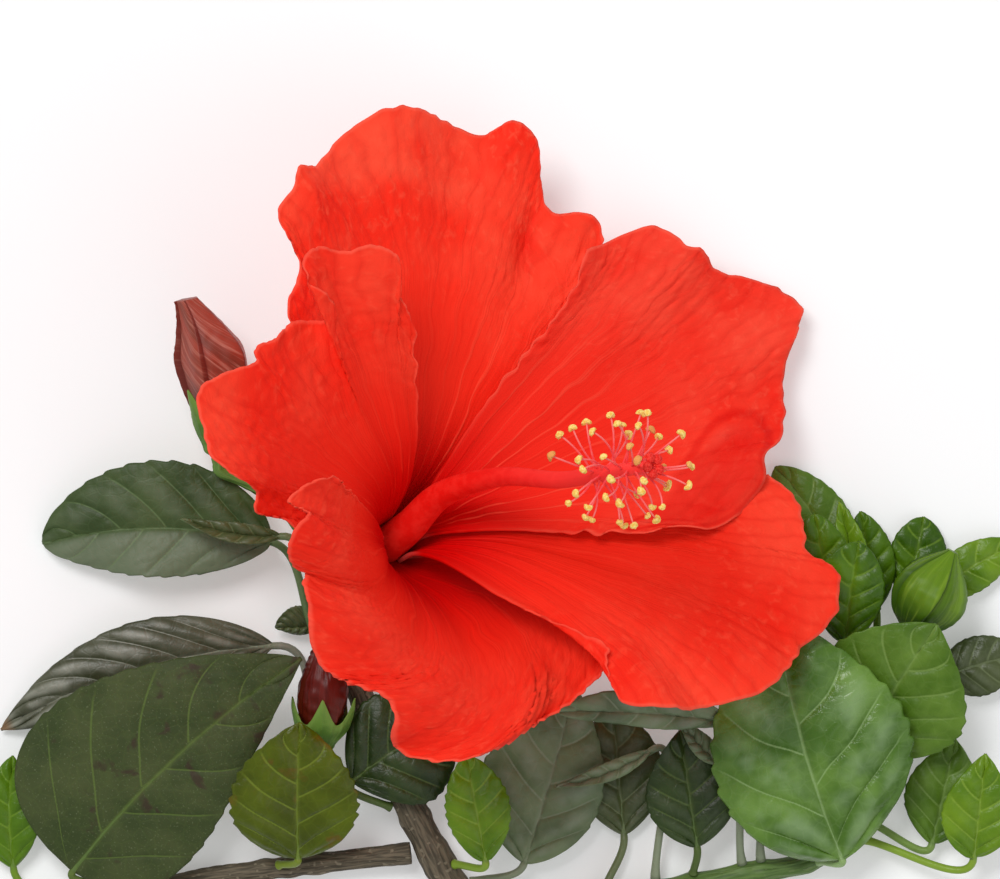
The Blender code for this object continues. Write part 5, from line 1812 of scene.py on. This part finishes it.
LEAVES = (
    Leaf("leaf_left_upper", LeafKind.HALVED, "stem_main", 0.845, (-41.6, -18.5, 7.0),
         (-83.4, -18.8, 1.6), (9.0, 12.6), bow=-2.6, arch=3.0, widest=0.47, fold=12.0, blunt=0.62,
         teeth=12.0, vein_sweep=1.15),
    Leaf("leaf_left_young", LeafKind.GREY, "stem_main", 0.885, (-39.6, -17.4, 12.6),
         (-57.8, -14.2, 13.0), (2.6, 2.6), bow=1.0, widest=0.4, fold=42.0, roll=10.0, tooth=0.12),
    Leaf("leaf_left_small", LeafKind.GREY, "stem_main", 0.8, (-33.4, -34.0, 3.4),
         (-41.0, -34.2, 2.6), (1.6, 4.6), widest=0.42, fold=20.0, roll=-12.0),
    Leaf("leaf_left_grey", LeafKind.STREAKED, "shoot_left", 0.375, (-41.2, -37.4, 4.2),
         (-91.0, -52.8, 1.4), (8.0, 8.6), bow=-3.2, arch=3.6, fold=10.0, roll=8.0, pairs=7.0,
         tooth=0.035, quilt=0.6, vein_sweep=2.1),
    Leaf("leaf_left_large", LeafKind.MATT, "shoot_left", 0.9, (-77.6, -78.4, 6.6),
         (-35.8, -39.4, 17.4), (22.5, 15.0), bow=2.4, arch=2.0, widest=0.28, fold=2.0, teeth=15.0,
         tooth=0.03, quilt=0.3, vein_sweep=1.0),
    Leaf("leaf_left_bright", LeafKind.SPOTTED, "shoot_left", 0.45, (-36.6, -76.0, 9.0),
         (-36.0, -50.9, 19.6), (12.2, 11.2), bow=0.3, arch=1.8, widest=0.42, fold=8.0, blunt=0.75,
         teeth=12.0, tooth=0.09),
    Leaf("leaf_left_edge", LeafKind.FRESH, "shoot_left", 1.0, (-88.6, -78.0, 3.0),
         (-88.6, -57.4, 4.6), (6.0, 5.4), bow=0.6, arch=1.2),
    Leaf("leaf_under_front", LeafKind.SHADED, "stem_main", 0.44, (-27.0, -62.0, 9.0),
         (-6.4, -49.2, 9.4), (10.4, 11.4), bow=0.8, arch=1.4, fold=4.0),
    Leaf("leaf_mid_grey", LeafKind.GLAUCOUS, "stem_main", 0.247, (4.4, -77.0, 4.6),
         (13.6, -44.6, 6.6), (12.6, 10.0), bow=-0.4, arch=0.8, widest=0.42, fold=5.0),
    Leaf("leaf_mid_vivid", LeafKind.YOUNG, "stem_main", 0.31, (-2.6, -76.4, 11.6),
         (-6.0, -57.0, 14.0), (5.6, 6.2), arch=1.0, widest=0.5, fold=8.0, blunt=0.65, tooth=0.1),
    Leaf("leaf_mid_glaucous", LeafKind.GLAUCOUS, "shoot_right", 0.485, (43.6, -51.4, 13.6),
         (9.6, -49.0, 17.0), (3.0, 5.4), bow=-1.0, arch=2.4, widest=0.5, fold=14.0, roll=-26.0),
    Leaf("leaf_mid_right", LeafKind.SHADED, "shoot_right", 0.355, (35.8, -74.0, 7.4),
         (32.6, -52.6, 9.6), (8.0, 8.8), arch=0.8, widest=0.44),
    Leaf("leaf_mid_light", LeafKind.GLAUCOUS, "shoot_right", 0.452, (39.8, -58.6, 13.2),
         (32.8, -51.0, 12.6), (1.8, 2.4), bow=0.4, arch=0.5, widest=0.42, fold=12.0),
    Leaf("leaf_mid_folded", LeafKind.GLAUCOUS, "shoot_right", 0.29, (27.4, -56.4, 7.2),
         (10.2, -62.8, 9.6), (2.0, 2.2), bow=1.0, arch=0.8, widest=0.42, fold=36.0, roll=8.0),
    Leaf("leaf_mid_deep", LeafKind.GREY, "shoot_right", 0.185, (22.6, -72.0, 2.6),
         (20.4, -47.6, 3.6), (8.0, 8.4), widest=0.46),
    Leaf("leaf_right_large", LeafKind.MIDDLE, "shoot_right", 0.565, (62.0, -76.0, 9.6),
         (49.8, -32.6, 17.6), (17.0, 19.6), bow=1.4, arch=2.6, widest=0.44, fold=5.0, blunt=0.7,
         pairs=4.0, tooth=0.06, quilt=1.2, vein_sweep=1.0),
    Leaf("leaf_right_wide", LeafKind.PLAIN, "shoot_right", 0.755, (64.8, -57.0, 7.0),
         (78.8, -33.3, 17.2), (14.0, 14.4), bow=0.4, arch=1.8, fold=5.0, blunt=0.8, quilt=0.3),
    Leaf("leaf_right_low", LeafKind.PLAIN, "shoot_right", 0.69, (78.6, -73.6, 3.6),
         (82.8, -54.4, 4.8), (7.0, 7.0), arch=1.0, fold=4.0),
    Leaf("leaf_right_tip", LeafKind.YOUNG, "shoot_right", 0.65, (86.0, -75.8, 7.6),
         (87.9, -56.8, 11.4), (6.8, 6.4), arch=1.2, widest=0.4, fold=8.0),
    Leaf("leaf_right_edge", LeafKind.GREY, "shoot_right", 0.9, (79.6, -43.4, 4.0),
         (96.4, -38.6, 2.0), (5.2, 5.8), bow=0.4, arch=1.0),
    Leaf("leaf_bud_side", LeafKind.YOUNG, "shoot_right", 0.935, (77.2, -30.2, 2.2),
         (95.6, -18.6, 2.6), (4.2, 4.6), bow=1.4, arch=0.8, widest=0.5, fold=4.0),
    Leaf("leaf_bud_behind", LeafKind.FRESH, "shoot_right", 0.968, (73.8, -31.0, 1.6),
         (77.2, -14.0, 2.2), (4.8, 5.4), widest=0.6, fold=0.0, blunt=0.6),
    Leaf("leaf_cluster_back", LeafKind.PLAIN, "shoot_right", 0.895, (64.2, -27.0, 1.8),
         (50.2, -4.8, 1.6), (8.6, 6.0), bow=-1.0, arch=1.2, widest=0.5, fold=2.0, blunt=0.7),
    Leaf("leaf_cluster_side", LeafKind.FRESH, "shoot_right", 0.945, (68.6, -31.0, 1.4),
         (65.6, -13.0, 3.6), (4.0, 4.8), widest=0.5, blunt=0.7),
    Leaf("leaf_cluster_young", LeafKind.YOUNG, "shoot_right", 0.918, (65.6, -28.4, 6.4),
         (61.6, -11.2, 7.6), (3.0, 3.4), fold=28.0),
    Leaf("leaf_cluster_left", LeafKind.FRESH, "shoot_right", 0.87, (62.4, -35.6, 6.0),
         (57.0, -13.4, 10.4), (6.4, 5.4), bow=0.6, widest=0.55, blunt=0.6),
    Leaf("leaf_cluster_front", LeafKind.FRESH, "shoot_right", 0.845, (62.6, -37.0, 9.2),
         (64.9, -18.4, 14.0), (6.6, 6.2), bow=0.4, arch=1.0, widest=0.52, blunt=0.6),
)
# The first leaf's seed, and how far on the next one's is. A leaf takes three seeds.
FIRST_LEAF_SEED = 601
LEAF_SEED_STEP = 7

# Copies of one petal finish, lit and shaded in paint petal by petal: the top petal's is the brightest, the
# right petal's has a dimmer full red, and the other petals wear the first one. The top and right ones also
# have more light veins.
PETAL_RED = PetalFinish("petal_red", "petal_red", tint_and_painted_light=0.55)
PETAL_MOST_LIT = PetalFinish("petal_most_lit", "petal_red", full=(0.95, 0.026, 0.010), tint_and_painted_light=0.9, lined=0.45)
PETAL_HALF_LIT = PetalFinish("petal_half_lit", "petal_red", full=(0.86, 0.022, 0.010), light=(0.95, 0.085, 0.045),
                         tint_and_painted_light=0.6, lined=0.45)
PETAL_FINISHES = {"petal_top": PETAL_MOST_LIT, "petal_right": PETAL_HALF_LIT}
COLUMN_RED = SoftFinish("column_red", "column_red", (0.80, 0.010, 0.006), (0.87, 0.022, 0.014),
                        (0.95, 0.050, 0.044), tip_from=0.35, scale=500.0)
FILAMENT_PINK = SoftFinish("filament_pink", "column_red", (0.94, 0.060, 0.070), (0.96, 0.11, 0.11),
                           (0.96, 0.22, 0.20), tip_from=0.4, scale=900.0)
POLLEN_YELLOW = SoftFinish("pollen_yellow", "column_red", (0.90, 0.54, 0.09), (1.0, 0.76, 0.24),
                           (0.80, 0.30, 0.08), tip_from=0.85, scale=2600.0, roughness=0.75, depth=0.0002)
STIGMA_RED = SoftFinish("stigma_velvet", "column_red", (0.78, 0.012, 0.008), (0.96, 0.055, 0.040),
                        (0.96, 0.055, 0.040), tip_from=0.9, scale=3000.0, roughness=0.85, depth=0.0002)
CALYX_GREEN = SoftFinish("calyx_green", "calyx_green", (0.075, 0.170, 0.022), (0.120, 0.235, 0.035),
                         (0.150, 0.270, 0.045), tip_from=0.5, scale=420.0, roughness=0.5, depth=0.0002)
BARK_BROWN = BarkFinish("bark_brown", "stem_bark")
BARK_GREEN = BarkFinish("bark_green", "stem_green", (0.060, 0.120, 0.022), (0.115, 0.200, 0.045),
                        (0.20, 0.25, 0.10), pores=0.35, roughness=0.5, depth=0.00015)
STALK_GREEN = BarkFinish("stalk_green", "stem_green", (0.070, 0.150, 0.022), (0.130, 0.240, 0.045),
                         (0.20, 0.28, 0.10), pores=0.2, roughness=0.45, depth=0.00010)
STEM_FINISHES = {"stem_main": BARK_BROWN, "shoot_left": BARK_BROWN, "shoot_right": BARK_GREEN}
BUD_FINISHES = {
    "bud_left": BudFinish("bud_maroon", "bud_maroon"),
    "bud_low": BudFinish("bud_dark", "bud_maroon", (0.050, 0.002, 0.001), (0.110, 0.006, 0.003),
                         (0.22, 0.020, 0.014), (0.10, 0.012, 0.004), streak_turns=(5.0, 2.0),
                         streaked=0.5, roughness=0.36),
    "bud_right": BudFinish("bud_fresh", "bud_green", (0.058, 0.130, 0.003), (0.140, 0.262, 0.008),
                           (0.270, 0.390, 0.040), (0.030, 0.080, 0.002), streak_turns=(6.0, 1.5),
                           streaked=0.45),
}


@dataclass(frozen=True)
class Studio:
    """Pale floor, soft lights, and a camera that looks straight down on the branch."""

    camera_height: float = 1.4999
    camera_place: tuple[float, float] = (-0.0006, 0.0191)
    camera_reach: float = 5.0
    sensor: float = 36.0
    focal_length: float = 296.0
    shift: float = 0.0005
    floor_size: float = 4.0
    floor_drop: float = 0.0004
    floor_colour: Colour = (0.72, 0.725, 0.73)
    floor_shade: float = 0.985
    floor_grain: float = 40.0
    floor_gloss: float = 0.5
    floor_roughness: float = 0.8
    floor_glow: float = 0.27
    sky: Colour = (1.0, 1.0, 1.0)
    sky_strength: float = 0.50

    def light(self, name: str, place: Point, size: float, power: float) -> None:
        """Hang a soft light that faces the branch.

        Args:
            name: The light's name.
            place: Where it hangs, in metres.
            size: The side of its panel, in metres.
            power: Its power, in watts.
        """
        lamp = bpy.data.lights.new(name, "AREA")
        lamp.shape = "SQUARE"
        lamp.size = size
        lamp.energy = power
        hung = linked(name, lamp)
        hung.location = place
        hung.rotation_euler = (-Vector(place)).to_track_quat("-Z", "Y").to_euler()

    def floor(self) -> None:
        """Lay the floor."""
        half = 0.5 * self.floor_size
        corners = [(-half, -half), (half, -half), (half, half), (-half, half)]
        mesh = bpy.data.meshes.new("floor")
        mesh.from_pydata([(x, y, -self.floor_drop) for x, y in corners], [], [(0, 1, 2, 3)])
        recipe = Recipe("floor_paint")
        recipe.colour = tuple(self.floor_shade * part for part in self.floor_colour)
        grain = recipe.noise(recipe.node("TexCoord", {}, "Object"), self.floor_grain)
        recipe.paint(grain, self.floor_colour)
        recipe.dress(self.floor_gloss, self.floor_roughness)
        recipe.shader.inputs["Emission Strength"].default_value = self.floor_glow
        mesh.materials.append(recipe.material)
        linked("floor", mesh)

    def camera(self) -> None:
        """Set up the camera."""
        lens = bpy.data.cameras.new("camera")
        lens.sensor_width = self.sensor
        lens.lens = self.focal_length
        lens.shift_y = self.shift
        lens.clip_end = self.camera_reach
        camera = linked("camera", lens)
        camera.location = (*self.camera_place, self.camera_height)
        bpy.context.scene.camera = camera

    def build(self) -> None:
        """Set the whole stage."""
        self.floor()
        self.camera()
        self.light("key", place=(-0.40, 0.60, 1.25), size=0.55, power=11.0)
        self.light("fill", place=(0.80, -0.50, 1.00), size=1.2, power=3.0)
        world = bpy.data.worlds.new("studio")
        world.use_nodes = True
        ground = world.node_tree.nodes["Background"]
        ground.inputs["Color"].default_value = (*self.sky, 1.0)
        ground.inputs["Strength"].default_value = self.sky_strength
        bpy.context.scene.world = world
        bpy.context.scene.view_settings.view_transform = "Standard"


def joints_on(node: str) -> list[float]:
    """Shares of a stem's length at which something stands on it."""
    leaves = [leaf.at for leaf in LEAVES if leaf.stem == node]
    return leaves + [stem.at for stem in STEMS.values() if stem.grows_from == node]


def main() -> None:
    """Build every piece of the branch around the frame, then the studio."""
    logging.basicConfig(level=logging.INFO, format="%(name)s %(message)s")
    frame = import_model()
    NODE_SLOTS.update({part["node"]: part["material_slot"] for part in frame["record"]["subparts"]})
    bloom = BloomFrame()
    for petal in PETALS:
        petal.build(bloom, PETAL_FINISHES.get(petal.node, PETAL_RED))
    StamenColumn().build(COLUMN_RED, FILAMENT_PINK, POLLEN_YELLOW, STIGMA_RED)
    Calyx().build(bloom, CALYX_GREEN)
    stems = Stems(bloom)
    for node in STEMS:
        stems.build(node, STEM_FINISHES.get(node, STALK_GREEN), joints_on(node))
    for node, bud in BUDS.items():
        bud.build(BUD_FINISHES[node])
    for cup in BUD_CALYXES:
        cup.build(CALYX_GREEN)
    for number, leaf in enumerate(LEAVES):
        replace(leaf, seed=FIRST_LEAF_SEED + LEAF_SEED_STEP * number).build(stems)
    Studio().build()
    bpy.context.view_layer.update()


if __name__ == "__main__":
    main()
